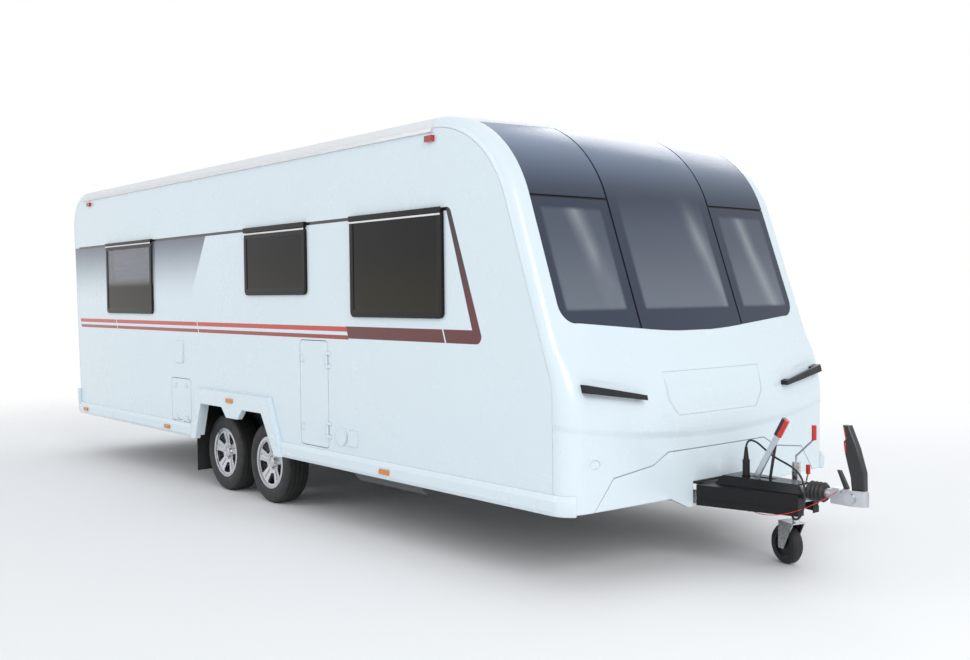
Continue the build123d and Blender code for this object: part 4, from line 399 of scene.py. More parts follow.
def inside_corner(paint, station, corner, way):
    """0 beyond a rounded corner at the front of the graphics, and 1 elsewhere; way is up or down."""
    x, z, radius = corner
    ahead = paint.most(paint.less(station, x), 0.0)
    past = paint.most(paint.times(paint.less(paint.z, z), way), 0.0)
    return paint.below(paint.reach(ahead, past), radius)


def inside_head_corner(paint, station):
    """0 beyond the rounded corner where the leg meets the line, and 1 elsewhere."""
    start, end = (HEAD_CORNER[1] + rise for rise in HEAD_CORNER_START)
    lower = paint.flip(paint.ramp(paint.z, start, end))
    return paint.most(inside_corner(paint, station, HEAD_CORNER, 1), lower)


def shaded_field(paint, station):
    """Mask of the field that darkens up to the line, behind its leaning edge."""
    (foot_x, foot_z), (head_x, head_z) = SHADE_EDGE_FOOT, SHADE_EDGE_HEAD
    slope = (head_x - foot_x) / (head_z - foot_z)
    upright = paint.less(station, paint.line(paint.z, foot_z, slope))
    fade = paint.ramp(paint.z, SHADE_FOOT_Z, SHADE_HEAD_Z + SHADE_FADE_PAST)
    return paint.times(fade, paint.below(upright, foot_x), paint.between(paint.z, 0.0, SHADE_HEAD_Z))


def band_leg(paint, station):
    """Mask of the leg that tapers from the band up to the line."""
    (foot_x, foot_z), (head_x, head_z) = LEG_FOOT, LEG_HEAD
    tall = head_z - foot_z
    middle = paint.line(paint.z, foot_z, (head_x - foot_x) / tall, foot_x)
    half = paint.line(paint.z, foot_z, (LEG_HALF_HEAD - LEG_HALF_FOOT) / tall, LEG_HALF_FOOT)
    off = paint.size(paint.less(station, middle))
    inside = paint.below(paint.less(off, half), 0.0)
    return paint.times(inside, paint.between(paint.z, BAND_FOOT_Z, LINE_HEAD_Z))


def side_graphics(paint, ground):
    """Striped colour of a side wall over its ground colour."""
    station = paint.add(paint.x, STATION_MID)
    head_kept = inside_head_corner(paint, station)
    colour = paint.mix(shaded_field(paint, station), ground, SHADE_TINT)
    line = paint.times(paint.between(paint.z, LINE_FOOT_Z, LINE_HEAD_Z),
                       paint.between(station, *LINE_ENDS), head_kept)
    colour = paint.mix(line, colour, LINE_TINT)

    slant = paint.less(station, paint.line(paint.z, BAND_FOOT_Z, STRIPE_LEAN))
    uncut = paint.times(*[paint.flip(paint.between(slant, gap - STRIPE_GAP_HALF, gap + STRIPE_GAP_HALF))
                          for gap in STRIPE_GAPS])
    stripes = paint.times(paint.between(slant, *STRIPE_ENDS), uncut)
    for heights, tint in ((UPPER_STRIPE_Z, UPPER_STRIPE_TINT), (LOWER_STRIPE_Z, LOWER_STRIPE_TINT)):
        colour = paint.mix(paint.times(stripes, paint.between(paint.z, *heights)), colour, tint)

    band = paint.times(paint.between(paint.z, BAND_FOOT_Z, BAND_HEAD_Z),
                       paint.between(slant, STRIPE_ENDS[1], BAND_END), uncut)
    drawn = paint.most(band, paint.times(band_leg(paint, station), head_kept))
    drawn = paint.times(drawn, inside_corner(paint, station, FOOT_CORNER, -1))
    tint = paint.mix(paint.ramp(paint.z, BAND_HEAD_Z, LEG_HEAD[1]), BAND_TINT, LEG_TINT)
    return paint.mix(drawn, colour, tint)


def white_skin(name, graphics=False):
    """Glossy white skin with eased edges."""
    paint = Paint(name, Coat_Weight=0.35, Coat_Roughness=0.06)
    ground = paint.mix(paint.noise(1.7), shade(WHITE, 0.985), shade(WHITE, 1.015))
    paint.colour(side_graphics(paint, ground) if graphics else ground)
    paint.rough(0.22, 0.30, 3.0)
    eased = paint.node("ShaderNodeBevel", samples=4)
    eased.inputs["Radius"].default_value = SKIN_EDGE_RADIUS
    paint.feed(paint.shader.inputs["Normal"], eased.outputs[0])
    return paint


def nose_skin(name):
    """White skin with the soft forms of the nose."""
    paint = white_skin(name)
    out = paint.size(paint.y)
    share = paint.times(out, 1 / CREASE_REACH)
    crease = paint.add(paint.times(share, share, CREASE_RISE), CREASE_Z)
    paint.bump(paint.above(paint.less(paint.z, crease), 0.0, CREASE_SOFT), CREASE_STEP)

    brow = paint.line(out, BROW_Y, BROW_SLOPE, BROW_Z)
    step = paint.above(paint.less(paint.z, brow), 0.0, BROW_SOFT)
    paint.bump(paint.times(step, paint.between(out, *BROW_ENDS, BROW_END_SOFT)), BROW_STEP)

    flank = paint.math("MINIMUM", paint.line(paint.z, SUNK_FOOT_Z, SUNK_FLARE, SUNK_FOOT_HALF), SUNK_HALF)
    sunk = paint.times(paint.above(paint.less(flank, out), 0.0, SUNK_SOFT),
                       paint.ramp(paint.z, *SUNK_FOOT_FADE), paint.ramp(paint.z, *SUNK_HEAD_FADE))
    paint.bump(sunk, -SUNK_DEPTH)
    return paint


def marked(paint, ground, metallic, marks):
    """Ground colour with painted or moulded areas on it, each a mask and its colour."""
    colour = ground
    for mask, tint in marks:
        colour = paint.mix(mask, colour, tint)
        metallic = paint.times(metallic, paint.flip(mask))
    paint.colour(colour)
    paint.feed(paint.shader.inputs["Metallic"], metallic)
    return paint


def handbrake_plate(name):
    """Plated lever with a black strut and a black grip that is red in front."""
    paint = Paint(name)
    (foot_x, foot_z), (tip_x, tip_z) = HANDBRAKE_FOOT, HANDBRAKE_TIP
    length = math.hypot(tip_x - foot_x, tip_z - foot_z)
    ux, uz = (tip_x - foot_x) / length, (tip_z - foot_z) / length
    x = paint.less(paint.x, foot_x - STATION_MID)
    z = paint.less(paint.z, foot_z)
    along = paint.add(paint.times(x, ux), paint.times(z, uz))
    across = paint.less(paint.times(x, uz), paint.times(z, ux))
    grip = paint.above(along, GRIP_SHARE * length - MARK_SOFT, MARK_SOFT)
    front = paint.above(across, GRIP_FRONT, MARK_SOFT)
    strut = paint.times(paint.flip(grip), paint.above(across, STRUT_FRONT, MARK_SOFT))
    paint.rough(0.25, 0.38, 60.0)
    return marked(paint, LEVER_PLATE, 1.0, ((strut, BLACK), (grip, BLACK), (paint.times(grip, front), RED)))


def hitch_black(name):
    """Black handles with red inserts along the rear edge of the tall one."""
    paint = Paint(name)
    ahead = paint.less(paint.x, COUPLING_BALL - STATION_MID)
    rise = paint.less(paint.z, COUPLING_HEAD)
    rear = paint.line(rise, HITCH_TIP_Z, HITCH_LEAN, HITCH_TIP_X)
    edge = paint.below(paint.less(ahead, rear), INSERT_DEEP, MARK_SOFT)
    upper = paint.times(edge, paint.between(rise, *UPPER_INSERT_Z))
    lower = paint.times(paint.between(ahead, *LOWER_INSERT_X), paint.between(rise, *LOWER_INSERT_Z))
    paint.rough(0.3, 0.45, 20.0)
    return marked(paint, BLACK, 0.0, ((upper, RED), (lower, RED)))


def crank_plate(name):
    """Plated crank and clamp with red knobs."""
    paint = Paint(name)
    knobs = paint.most(paint.above(paint.z, CRANK_KNOB, MARK_SOFT), paint.between(paint.z, *CLAMP_KNOB))
    paint.rough(0.25, 0.38, 60.0)
    return marked(paint, CRANK_PLATE, 1.0, ((knobs, RED),))


def wrap_tint_and_reflection(paint):
    """Dark tint of the front glazing, with a painted reflection that pales it towards the roof."""
    return paint.mix(paint.ramp(paint.z, *WRAP_REFLECTION_FADE), *WRAP_TINT_AND_REFLECTION)


def front_pane(name, half, centre, head, soft):
    """Front pane: dark printed border; in the sight a lighter tint, partly painted inside light, and painted
    light streaks.
    """
    paint = Paint(name, IOR=1.49, Specular_IOR_Level=0.3)
    off = paint.size(paint.less(paint.size(paint.y), centre))
    sight = paint.times(paint.flip(paint.ramp(off, half - SIGHT_EDGE, half)),
                        paint.ramp(paint.z, *SIGHT_FOOT), paint.flip(paint.ramp(paint.z, head - soft, head)))
    # Painted highlights: leaning streaks of reflected light in the sight, broken up by a noise
    lean = paint.add(paint.y, paint.line(paint.z, STREAK_MID_Z, STREAK_LEAN))
    streak = 0.0
    for place in HIGHLIGHT_STREAKS:
        ray = paint.between(lean, place - STREAK_HALF, place + STREAK_HALF, STREAK_SOFT)
        streak = paint.most(streak, ray)
    streak = paint.times(streak, paint.ramp(paint.noise(3.0, 2.0, (1, 1, 0.4)), *STREAK_BREAKS))
    # Lighter tint low in the sight, partly painted light from inside
    tint = paint.mix(paint.ramp(paint.z, *SIGHT_INSIDE_LIGHT_FADE), *SIGHT_GLASS_AND_INSIDE_LIGHT_TINTS)
    tint = paint.mix(streak, tint, STREAK_HIGHLIGHT_TINT)
    paint.colour(paint.mix(sight, wrap_tint_and_reflection(paint), tint))
    paint.feed(paint.shader.inputs["Transmission Weight"], paint.times(sight, SIGHT_CLEAR))
    paint.rough(0.16, 0.24, 2.0)
    return paint


def fairing_gloss(name):
    """Glossy dark skin above the front side panes, with a painted reflection that pales it towards the roof.
    """
    paint = Paint(name, Specular_IOR_Level=0.3)
    paint.colour(wrap_tint_and_reflection(paint))
    paint.rough(0.2, 0.28, 3.0)
    return paint


def side_glass(name):
    """Dark tinted panes; the rear ones are paler."""
    paint = Paint(name, IOR=1.49, Specular_IOR_Level=0.1)
    end = (station - STATION_MID for station in REAR_GLASS_END)
    rear = paint.times(paint.flip(paint.ramp(paint.x, *end)), paint.ramp(paint.z, *REAR_GLASS_FOOT))
    dark = paint.mix(paint.ramp(paint.z, *SIDE_GLASS_FADE), *SIDE_GLASS_TINTS)
    paint.colour(paint.mix(rear, dark, REAR_GLASS_TINT))
    clear = paint.add(paint.times(rear, REAR_CLEAR), SIDE_CLEAR)
    paint.feed(paint.shader.inputs["Transmission Weight"], clear)
    paint.rough(0.02, 0.06, 2.0)
    return paint


def acrylic(name, colour):
    """Tinted see-through pane of a roof light."""
    paint = Paint(name, IOR=1.49, Transmission_Weight=0.5)
    paint.colour(paint.mix(paint.noise(1.1), shade(colour, 0.8), shade(colour, 1.2)))
    paint.rough(0.02, 0.06, 2.0)
    return paint


def ribbed_lens(name, colour, pitch=0.006):
    """Moulded lamp lens with upright ribs inside."""
    paint = Paint(name, Coat_Weight=0.6, Coat_Roughness=0.05, Transmission_Weight=0.15)
    rib = paint.wave(paint.x, pitch)
    lightness = paint.add(paint.times(rib, 0.25), 0.5)
    paint.colour(paint.mix(lightness, shade(colour, 0.75), shade(colour, 1.2)))
    paint.rough(0.12, 0.22, 20.0)
    paint.bump(paint.times(rib, paint.wave(paint.z, pitch)), 0.0006)
    return paint


def metal(name, colour, low, high, scale, stretch=(1, 1, 1), scratch=0.0002):
    """Bare or plated metal with a brushed or cast surface."""
    paint = Paint(name, Metallic=1.0)
    grain = paint.noise(scale, 4.0, stretch)
    paint.colour(paint.mix(grain, shade(colour, 0.8), shade(colour, 1.12)))
    paint.rough(low, high, scale)
    paint.bump(grain, scratch)
    return paint


def tyre_rubber(name, station, side):
    """Rubber with tread grooves on its face, darkened with painted shade, and rings on its wall."""
    paint = Paint(name)
    across = paint.less(paint.y, side * WHEEL_Y)
    x = paint.less(paint.x, station - STATION_MID)
    z = paint.less(paint.z, TYRE_RADIUS)
    radius = paint.reach(x, z)
    angle = paint.math("ARCTAN2", z, x)
    on_face = paint.ramp(radius, *[TYRE_RADIUS - drop for drop in TREAD_EDGE])
    groove = paint.math("GREATER_THAN", paint.wave(across, TREAD_PITCH, "COSINE"), GROOVE_LEVEL)
    slits = paint.math("SINE", paint.add(paint.times(angle, SLIT_COUNT), paint.times(across, SLIT_SLANT)))
    slit = paint.math("GREATER_THAN", slits, SLIT_LEVEL)
    cut = paint.times(on_face, paint.most(groove, slit))
    rings = paint.times(paint.wave(radius, WALL_RING_PITCH), paint.flip(on_face), WALL_RING_SHARE)
    # Grooves and slits are darkened with painted shade
    paint.colour(paint.mix(cut, paint.mix(paint.noise(14.0), *RUBBER_TINTS), TREAD_GROOVE_SHADE_TINT))
    paint.rough(0.55, 0.75, 22.0)
    paint.bump(paint.less(rings, cut), TREAD_DEPTH)
    return paint


def wood(name, colour):
    """Foil-faced board with a long grain."""
    paint = Paint(name)
    grain = paint.noise(9.0, 5.0, (1, 1, 7))
    paint.colour(paint.mix(grain, shade(colour, 0.7), shade(colour, 1.15)))
    paint.rough(0.4, 0.55, 12.0)
    paint.bump(grain, 0.0003)
    return paint


def fabric(name, colour, pitch=0.004):
    """Woven upholstery."""
    paint = Paint(name, Sheen_Weight=0.3)
    warp = paint.wave(paint.x, pitch)
    weft = paint.wave(paint.add(paint.y, paint.z), pitch)
    paint.colour(paint.mix(paint.noise(40.0), shade(colour, 0.78), shade(colour, 1.1)))
    paint.rough(0.8, 0.95, 30.0)
    paint.bump(paint.times(warp, weft), 0.0008)
    return paint


# Materials. Plain ones: colour, lowest and highest roughness, drift of the colour, depth of the grain.
# Metals: colour, lowest and highest roughness, fineness of the surface.
PAINTS = {
    "wall": white_skin("side_wall_white", graphics=True),
    "white": white_skin("moulded_white"),
    "nose": nose_skin("nose_white"),
    "roof": plain("roof_white", (0.78, 0.80, 0.82), 0.35, 0.45, 0.02, 0.0004),
    "glass": side_glass("window_tint"),
    "front_glass": front_pane("front_tint", half=0.38, centre=0.0, head=2.12, soft=0.30),
    "front_side_glass": front_pane("front_side_tint", half=0.235, centre=0.745, head=1.985, soft=0.03),
    "roof_glass": acrylic("roof_light_tint", (0.05, 0.055, 0.06)),
    "fairing": fairing_gloss("fairing_gloss"),
    "black": plain("black_moulding", (0.014, 0.014, 0.016), 0.32, 0.5, 0.2, 0.0003, Specular_IOR_Level=0.3),
    "black_gloss": plain("black_gloss", (0.008, 0.008, 0.009), 0.16, 0.28, 0.2, 0.0001,
                         Specular_IOR_Level=0.25),
    "handbrake": handbrake_plate("handbrake_plate"),
    "hitch": hitch_black("hitch_handle_black"),
    "crank": crank_plate("crank_plate"),
    "tank": plain("tank_grey", (0.13, 0.135, 0.14), 0.5, 0.65, 0.1, 0.0006),
    "zinc": metal("galvanised", (0.50, 0.51, 0.53), 0.38, 0.55, 55.0),
    "plated": metal("bright_plate", (0.66, 0.67, 0.69), 0.2, 0.34, 90.0),
    "cast": metal("cast_grey", (0.55, 0.57, 0.61), 0.36, 0.5, 160.0, scratch=0.0006),
    "alloy": metal("wheel_alloy", (0.62, 0.63, 0.66), 0.22, 0.32, 40.0),
    "rail": metal("rail_aluminium", (0.72, 0.73, 0.75), 0.3, 0.42, 80.0, stretch=(0.1, 1, 1)),
    "rubber": plain("gaiter_rubber", (0.016, 0.016, 0.017), 0.5, 0.65, 0.25, 0.0004),
    "amber": ribbed_lens("amber_lens", (0.85, 0.27, 0.02)),
    "red_lens": ribbed_lens("red_lens", (0.5, 0.012, 0.014)),
    "floor": plain("floor_board", (0.10, 0.10, 0.10), 0.6, 0.75, 0.15, 0.0005),
    "wood": wood("cabinet_board", (0.36, 0.24, 0.14)),
    "cloth": fabric("seat_cloth", (0.20, 0.18, 0.17)),
    "bedding": fabric("bed_cloth", (0.45, 0.42, 0.40)),
    "blind": fabric("blind_cloth", (0.46, 0.50, 0.60), pitch=0.003),
    "liner": plain("arch_liner", (0.02, 0.02, 0.021), 0.6, 0.8, 0.25, 0.0008),
    "cable": plain("cable_black", (0.012, 0.012, 0.013), 0.4, 0.55, 0.2),
    "red_cable": plain("cable_red", (0.62, 0.02, 0.025), 0.3, 0.42, 0.1),
}

# CAD nodes of each material
NODE_PAINTS = {
    "wall": ("side_wall_nearside", "side_wall_offside", "entrance_door", "gas_locker_door", "cassette_door"),
    "white": ("front_valance", "rear_panel", "rear_bumper", "skirts", "wall_fittings"),
    "nose": ("front_panel",),
    "roof": ("roof_panel",),
    "glass": ("offside_windows", "nearside_windows", "entrance_door_window"),
    "front_glass": ("front_centre_window",),
    "front_side_glass": ("front_side_windows",),
    "roof_glass": ("roof_lights",),
    "fairing": ("front_fairings",),
    "black": ("front_window_frame", "locker_linings", "front_handles", "road_plug"),
    "hitch": ("coupling_handles",),
    "black_gloss": ("drawbar_cover",),
    "liner": ("wheel_boxes",),
    "zinc": ("axles", "chassis_frame", "steady_brackets", "steady_rear_offside", "steady_rear_nearside",
             "steady_front_offside", "steady_front_nearside"),
    "plated": ("jockey_tube", "jockey_leg"),
    "handbrake": ("handbrake_lever",),
    "tank": ("under_floor_tank",),
    "cast": ("coupling_head", "overrun_housing"),
    "alloy": tuple("wheel_" + name for name in WHEELS),
    "rail": ("awning_rails",),
    "rubber": ("drawbar_gaiter", "jockey_wheel"),
    "amber": ("marker_lamps",),
    "red_lens": ("rear_lamps", "outline_lamps"),
    "crank": ("jockey_crank",),
    "floor": ("floor_panel",),
    "wood": ("furniture", "settee_bases"),
}


def smooth_group():
    """Geometry nodes that shade smooth across shallow edges only."""
    group = bpy.data.node_groups.new("smooth_shallow_edges", "GeometryNodeTree")
    group.interface.new_socket("Geometry", in_out="INPUT", socket_type="NodeSocketGeometry")
    group.interface.new_socket("Geometry", in_out="OUTPUT", socket_type="NodeSocketGeometry")
    start = group.nodes.new("NodeGroupInput")
    end = group.nodes.new("NodeGroupOutput")
    weld = group.nodes.new("GeometryNodeMergeByDistance")
    weld.inputs["Distance"].default_value = WELD
    faces = group.nodes.new("GeometryNodeSetShadeSmooth")
    edges = group.nodes.new("GeometryNodeSetShadeSmooth")
    edges.domain = "EDGE"
    edges.inputs["Shade Smooth"].default_value = False
    angle = group.nodes.new("GeometryNodeInputMeshEdgeAngle")
    steep = group.nodes.new("ShaderNodeMath")
    steep.operation = "GREATER_THAN"
    steep.inputs[1].default_value = math.radians(SMOOTH_ANGLE)
    link = group.links.new
    link(start.outputs[0], weld.inputs["Geometry"])
    link(weld.outputs[0], faces.inputs["Geometry"])
    link(faces.outputs[0], edges.inputs["Geometry"])
    link(angle.outputs["Unsigned Angle"], steep.inputs[0])
    link(steep.outputs[0], edges.inputs["Selection"])
    link(edges.outputs[0], end.inputs[0])
    return group


def dress(obj, paint):
    """Give an object one material."""
    obj.data.materials.clear()
    obj.data.materials.append(paint.material)


def dress_nodes():
    """Material and smooth shading of every CAD node."""
    group = smooth_group()
    for key, names in NODE_PAINTS.items():
        for name in names:
            dress(NODES[name], PAINTS[key])
    for name, (station, side) in WHEELS.items():
        dress(NODES["tyre_" + name], tyre_rubber("tyre_" + name + "_rubber", station, side))
    for node in NODES.values():
        node.modifiers.new("smooth", "NODES").node_group = group


def new_object(name, data):
    """New object in the scene."""
    obj = bpy.data.objects.new(name, data)
    bpy.context.scene.collection.objects.link(obj)
    return obj


def new_mesh(name, mesh_maker):
    """New mesh object from a function that fills a bmesh."""
    work = bmesh.new()
    mesh_maker(work)
    mesh = bpy.data.meshes.new(name)
    work.to_mesh(mesh)
    work.free()
    return new_object(name, mesh)


def piece(name, mesh_maker, paint, body):
    """New mesh object that rides on a body."""
    def make(work):
        mesh_maker(work)
        bmesh.ops.recalc_face_normals(work, faces=work.faces)

    obj = new_mesh(name, make)
    dress(obj, paint)
    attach(obj, body)
    return obj


def rounded_outline(x0, x1, z0, z1, radius, steps=6):
    """Points of a rounded rectangle in station and height."""
    points = []
    corners = ((x1 - radius, z1 - radius, 0), (x0 + radius, z1 - radius, 90),
               (x0 + radius, z0 + radius, 180), (x1 - radius, z0 + radius, 270))
    for cx, cz, start in corners:
        for step in range(steps + 1):
            turn = math.radians(start + 90 * step / steps)
            points.append((cx + radius * math.cos(turn), cz + radius * math.sin(turn)))
    return points


def ring_strip(work, loops):
    """Skin closed loops of points in order, and back to the first loop."""
    rings = [[work.verts.new(point) for point in loop] for loop in loops]
    count = len(rings[0])
    for one, two in zip(rings, rings[1:] + rings[:1]):
        for index in range(count):
            after = (index + 1) % count
            work.faces.new((one[index], one[after], two[after], two[index]))


def border_loop(row, side, inset, out):
    """Points round a pane, set in from its edge and standing out from its face."""
    x0, x1, foot, head = row
    radius = max(WINDOW_CORNER - inset, LEAST_CORNER)
    y = side * (HALF_WIDTH + PANE_PROUD + out)
    outline = rounded_outline(x0 + inset, x1 - inset, foot + inset, head - inset, radius)
    return [at(x, y, z) for x, z in outline]


def window_frames(name, rows, side, body):
    """Dark moulded borders on the panes of one side."""
    def make(work):
        for row in rows:
            ring_strip(work, [border_loop(row, side, inset, out) for inset, out in BORDER_SECTION])

    return piece(name, make, PAINTS["black_gloss"], body)


def bar(work, start, end, width, height, normal, bevel):
    """Bevelled bar between two points, with one face towards a normal."""
    length = (end - start).length
    along = (end - start).normalized()
    across = along.cross(normal).normalized()
    made = bmesh.ops.create_cube(work, size=1.0)["verts"]
    basis = Matrix((along * length, across * width, normal * height)).transposed().to_4x4()
    basis.translation = (start + end) / 2
    bmesh.ops.transform(work, matrix=basis, verts=made)
    edges = list({edge for vert in made for edge in vert.link_edges})
    bmesh.ops.bevel(work, geom=edges, offset=bevel, segments=2, profile=0.5, affect="EDGES")


def window_rails(name, rows, side):
    """Dark rails along the heads of the panes of one side, up to the line that runs through them."""
    def make(work):
        for x0, x1, _, head in rows:
            on_pane = head > LINE_HEAD_Z
            low = head - RAIL_ON_PANE if on_pane else head + RAIL_GAP
            back = PANE_PROUD + RAIL_PANE_GAP if on_pane else 0.0
            y = side * (HALF_WIDTH + (back + RAIL_OUT) / 2)
            z = (low + RAIL_HEAD_Z) / 2
            start, end = at(x0 + RAIL_END_IN, y, z), at(x1 - RAIL_END_IN, y, z)
            bar(work, start, end, RAIL_HEAD_Z - low, RAIL_OUT - back, Vector((0, side, 0)), RAIL_EASE)

    return piece(name, make, PAINTS["black_gloss"], "caravan")


def silver_rails(name, rows, side):
    """Bright strips on the panes' upper borders."""
    def make(work):
        for x0, x1, _, head in rows:
            z = head - (SILVER_DROP_ON_PANE if head > LINE_HEAD_Z else SILVER_DROP)
            y = side * (HALF_WIDTH + PANE_PROUD + SILVER_OUT)
            start, end = at(x0 + SILVER_END_IN, y, z), at(x1 - SILVER_END_IN, y, z)
            bar(work, start, end, SILVER_TALL, SILVER_THICK, Vector((0, side, 0)), SILVER_EASE)

    return piece(name, make, PAINTS["rail"], "caravan")


def blind(name, row, side):
    """Pleated blind behind a pane, drawn down by a share of its height."""
    x0, x1, foot, head = row
    count = int(BLIND_SHARE * (head - foot) / BLIND_PLEAT)

    def make(work):
        folds = []
        for step in range(count + 1):
            fold = BLIND_FOLD if step % 2 else -BLIND_FOLD
            y = side * (HALF_WIDTH - WALL - BLIND_BACK + fold)
            z = head - step * BLIND_PLEAT
            folds.append([work.verts.new(at(x, y, z)) for x in (x0 + BLIND_MARGIN, x1 - BLIND_MARGIN)])
        for one, two in zip(folds, folds[1:]):
            work.faces.new((one[0], one[1], two[1], two[0]))

    made = piece(name, make, PAINTS["blind"], "caravan")
    return made


def wheel_nuts(name, station, side, body):
    """Wheel nuts and a ring round the hub cap of one wheel."""
    face = side * (WHEEL_Y + HUB_FACE)

    def round_hub(radius, turn, out):
        return at(station + radius * math.cos(turn), face + side * out, TYRE_RADIUS + radius * math.sin(turn))

    def make(work):
        for index in range(NUT_COUNT):
            turn = math.radians(NUT_START + 360 / NUT_COUNT * index)
            nut = bmesh.ops.create_cone(work, cap_ends=True, segments=6, radius1=NUT_FOOT, radius2=NUT_HEAD,
                                        depth=NUT_TALL)["verts"]
            spin = Matrix.Rotation(-side * math.pi / 2, 4, "X")
            place = Matrix.Translation(round_hub(NUT_CIRCLE, turn, -NUT_SUNK))
            bmesh.ops.transform(work, matrix=place @ spin, verts=nut)
        turns = [2 * math.pi * step / HUB_RING_STEPS for step in range(HUB_RING_STEPS)]
        ring_strip(work, [[round_hub(radius, turn, out) for turn in turns] for radius, out in HUB_RING])

    return piece(name, make, PAINTS["plated"], body)


def cushion(name, low, high, axis, way):
    """Crowned pad that is flat where it rests, with sides that pull in."""
    low, high = Vector(low), Vector(high)
    size = high - low
    middle = (low + high) / 2 - Vector((STATION_MID, 0, 0))
    across = [index for index in range(3) if index != axis]

    def make(work):
        bmesh.ops.create_cube(work, size=1.0)
        bmesh.ops.subdivide_edges(work, edges=work.edges[:], cuts=CUSHION_CUTS, use_grid_fill=True)
        for vert in work.verts:
            unit = 2 * vert.co
            u, v = (unit[index] for index in across)
            rise = 0.5 + 0.5 * way * unit[axis]
            dome = (1 - abs(u) ** CROWN_POWER) * (1 - abs(v) ** CROWN_POWER)
            height = rise * (1 - CROWN_SHARE + CROWN_SHARE * dome)
            pull = WAIST_PULL * (1 - (2 * rise - 1) ** 2) + CROWN_PULL * rise ** CROWN_PULL_POWER
            point = Vector((0, 0, 0))
            for index, value, other in ((across[0], u, v), (across[1], v, u)):
                waist = pull + SIDE_PULL * (1 - other ** 2) * abs(value) ** SIDE_PULL_POWER
                point[index] = value * (size[index] / 2 - waist)
            point[axis] = way * (height - 0.5) * size[axis]
            vert.co = point + middle
        for face in work.faces:
            face.smooth = True

    paint = PAINTS["bedding" if name == "mattress" else "cloth"]
    made = piece(name, make, paint, "caravan")
    made.modifiers.new("soften", "SUBSURF").levels = 1
    return made


def cable(name, route, diameter, paint, node):
    """Free cable along its route."""
    points = [at(x / MM_IN_METRE, y / MM_IN_METRE, z / MM_IN_METRE) for x, y, z in route]
    data = bpy.data.curves.new(name, "CURVE")
    data.dimensions = "3D"
    data.bevel_depth = diameter / 2 / MM_IN_METRE
    data.bevel_resolution = 4
    data.resolution_u = 16
    data.use_fill_caps = True
    spline = data.splines.new("NURBS")
    spline.points.add(len(points) - 1)
    for control, point in zip(spline.points, points):
        control.co = (*point, 1.0)
    spline.order_u = 3
    spline.use_endpoint_u = True
    obj = new_object(name, data)
    dress(obj, paint)
    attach(obj, "caravan")
    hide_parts(node)
    return obj


def build_pieces():
    """Everything that is added to the CAD model."""
    for label, side, rows in SIDES:
        window_frames("window_frames_" + label, rows, side, "caravan")
    window_frames("window_frame_door", (DOOR_WINDOW,), 1, "entrance_door")
    for label, side, rows in SIDES:
        window_rails("window_rails_" + label, rows, side)
        silver_rails("silver_rails_" + label, rows, side)
    for label, side, rows in SIDES:
        blind("blind_bedroom_" + label, rows[0], side)
    for name, (station, side) in WHEELS.items():
        wheel_nuts(name + "_wheel_nuts", station, side, name + "_wheel")
    cushions = [cushion(*row) for row in CUSHIONS]
    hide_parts("cushions")
    cable("lamp_cable", PLUG_ROUTE, PLUG_CABLE, PAINTS["cable"],
          "road_plug_cable")
    cable("brake_cable", BREAKAWAY_ROUTE, BREAKAWAY_CABLE, PAINTS["red_cable"],
          "breakaway_cable")


def build_camera():
    """Camera at the photograph's place."""
    azimuth = math.radians(CAMERA_AZIMUTH)
    tilt = math.radians(CAMERA_TILT)
    roll = math.radians(CAMERA_ROLL)
    ahead = Vector((-math.sin(azimuth) * math.cos(tilt), math.cos(azimuth) * math.cos(tilt), -math.sin(tilt)))
    level = Vector((math.cos(azimuth), math.sin(azimuth), 0))
    upright = level.cross(ahead)
    right = level * math.cos(roll) + upright * math.sin(roll)
    up = upright * math.cos(roll) - level * math.sin(roll)
    data = bpy.data.cameras.new("camera")
    data.lens = CAMERA_LENS
    data.sensor_width = SENSOR_WIDTH
    data.clip_end = CAMERA_FAR
    obj = new_object("camera", data)
    pose = Matrix((right, up, -ahead)).transposed().to_4x4()
    pose.translation = CAMERA_PLACE
    obj.matrix_world = pose
    bpy.context.scene.camera = obj


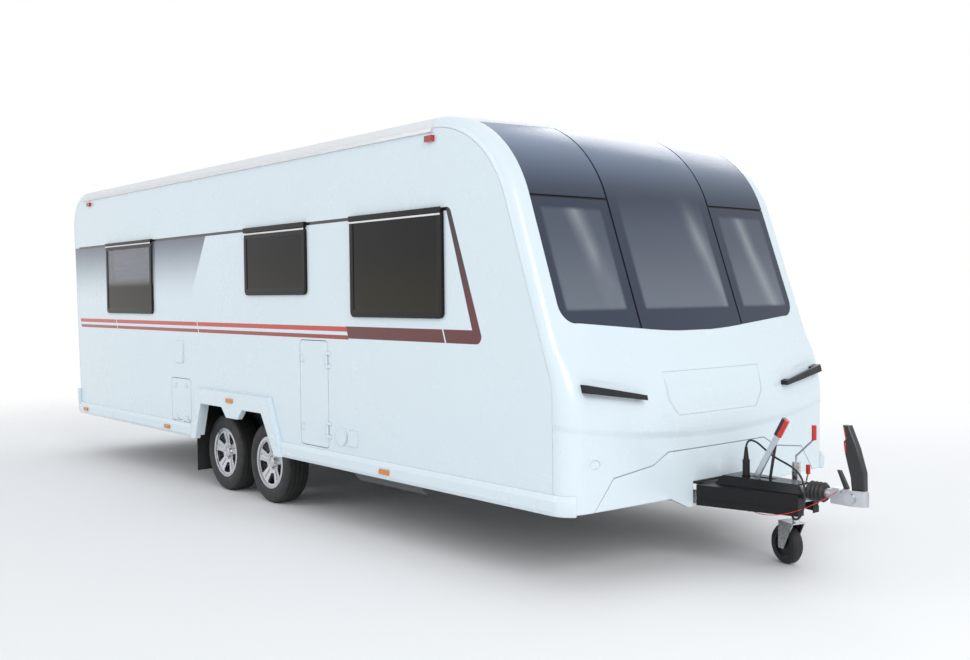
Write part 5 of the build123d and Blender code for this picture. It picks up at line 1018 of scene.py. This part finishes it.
def build_floor():
    """Pale floor that fades out into the backdrop."""
    def make(work):
        bmesh.ops.create_circle(work, cap_ends=True, segments=96, radius=FLOOR_RADIUS)

    floor = new_mesh("floor", make)
    paint = Paint("studio_floor", Roughness=0.9)
    paint.colour(paint.mix(paint.noise(0.4), *FLOOR_TINTS))
    reach = paint.node("ShaderNodeVectorMath", operation="LENGTH")
    paint.feed(reach.inputs[0], paint.place)
    clear = paint.node("ShaderNodeBsdfTransparent")
    blend = paint.node("ShaderNodeMixShader")
    paint.feed(blend.inputs[0], paint.ramp(reach.outputs["Value"], *FLOOR_FADE))
    paint.feed(blend.inputs[1], paint.shader.outputs[0])
    paint.feed(blend.inputs[2], clear.outputs[0])
    paint.feed(paint.tree.nodes["Material Output"].inputs["Surface"], blend.outputs[0])
    dress(floor, paint)


def build_lamps():
    """Soft round lamps."""
    for name, place, target, size, power in LAMPS:
        data = bpy.data.lights.new(name, "AREA")
        data.shape = "DISK"
        data.size = size
        data.energy = power
        lamp = new_object(name, data)
        lamp.location = place
        lamp.rotation_mode = "QUATERNION"
        lamp.rotation_quaternion = (Vector(target) - Vector(place)).to_track_quat("-Z", "Y")


def build_world():
    """Soft light from all round, in front of a white backdrop that shows in metal and glass too."""
    world = bpy.data.worlds.new("studio")
    bpy.context.scene.world = world
    world.use_nodes = True
    tree = world.node_tree
    dome = tree.nodes["Background"]
    dome.inputs["Color"].default_value = DOME_TINT
    dome.inputs["Strength"].default_value = DOME_LIGHT
    backdrop = tree.nodes.new("ShaderNodeBackground")
    backdrop.inputs["Color"].default_value = BACKDROP_TINT
    path = tree.nodes.new("ShaderNodeLightPath")
    seen = path.outputs["Is Camera Ray"]
    for kind in ("Is Glossy Ray", "Is Transmission Ray"):
        either = tree.nodes.new("ShaderNodeMath")
        either.operation = "MAXIMUM"
        tree.links.new(seen, either.inputs[0])
        tree.links.new(path.outputs[kind], either.inputs[1])
        seen = either.outputs[0]
    choose = tree.nodes.new("ShaderNodeMixShader")
    tree.links.new(seen, choose.inputs[0])
    tree.links.new(dome.outputs[0], choose.inputs[1])
    tree.links.new(backdrop.outputs[0], choose.inputs[2])
    tree.links.new(choose.outputs[0], tree.nodes["World Output"].inputs["Surface"])
    bpy.context.scene.view_settings.view_transform = "Standard"


dress_nodes()
build_pieces()
build_camera()
build_floor()
build_lamps()
build_world()
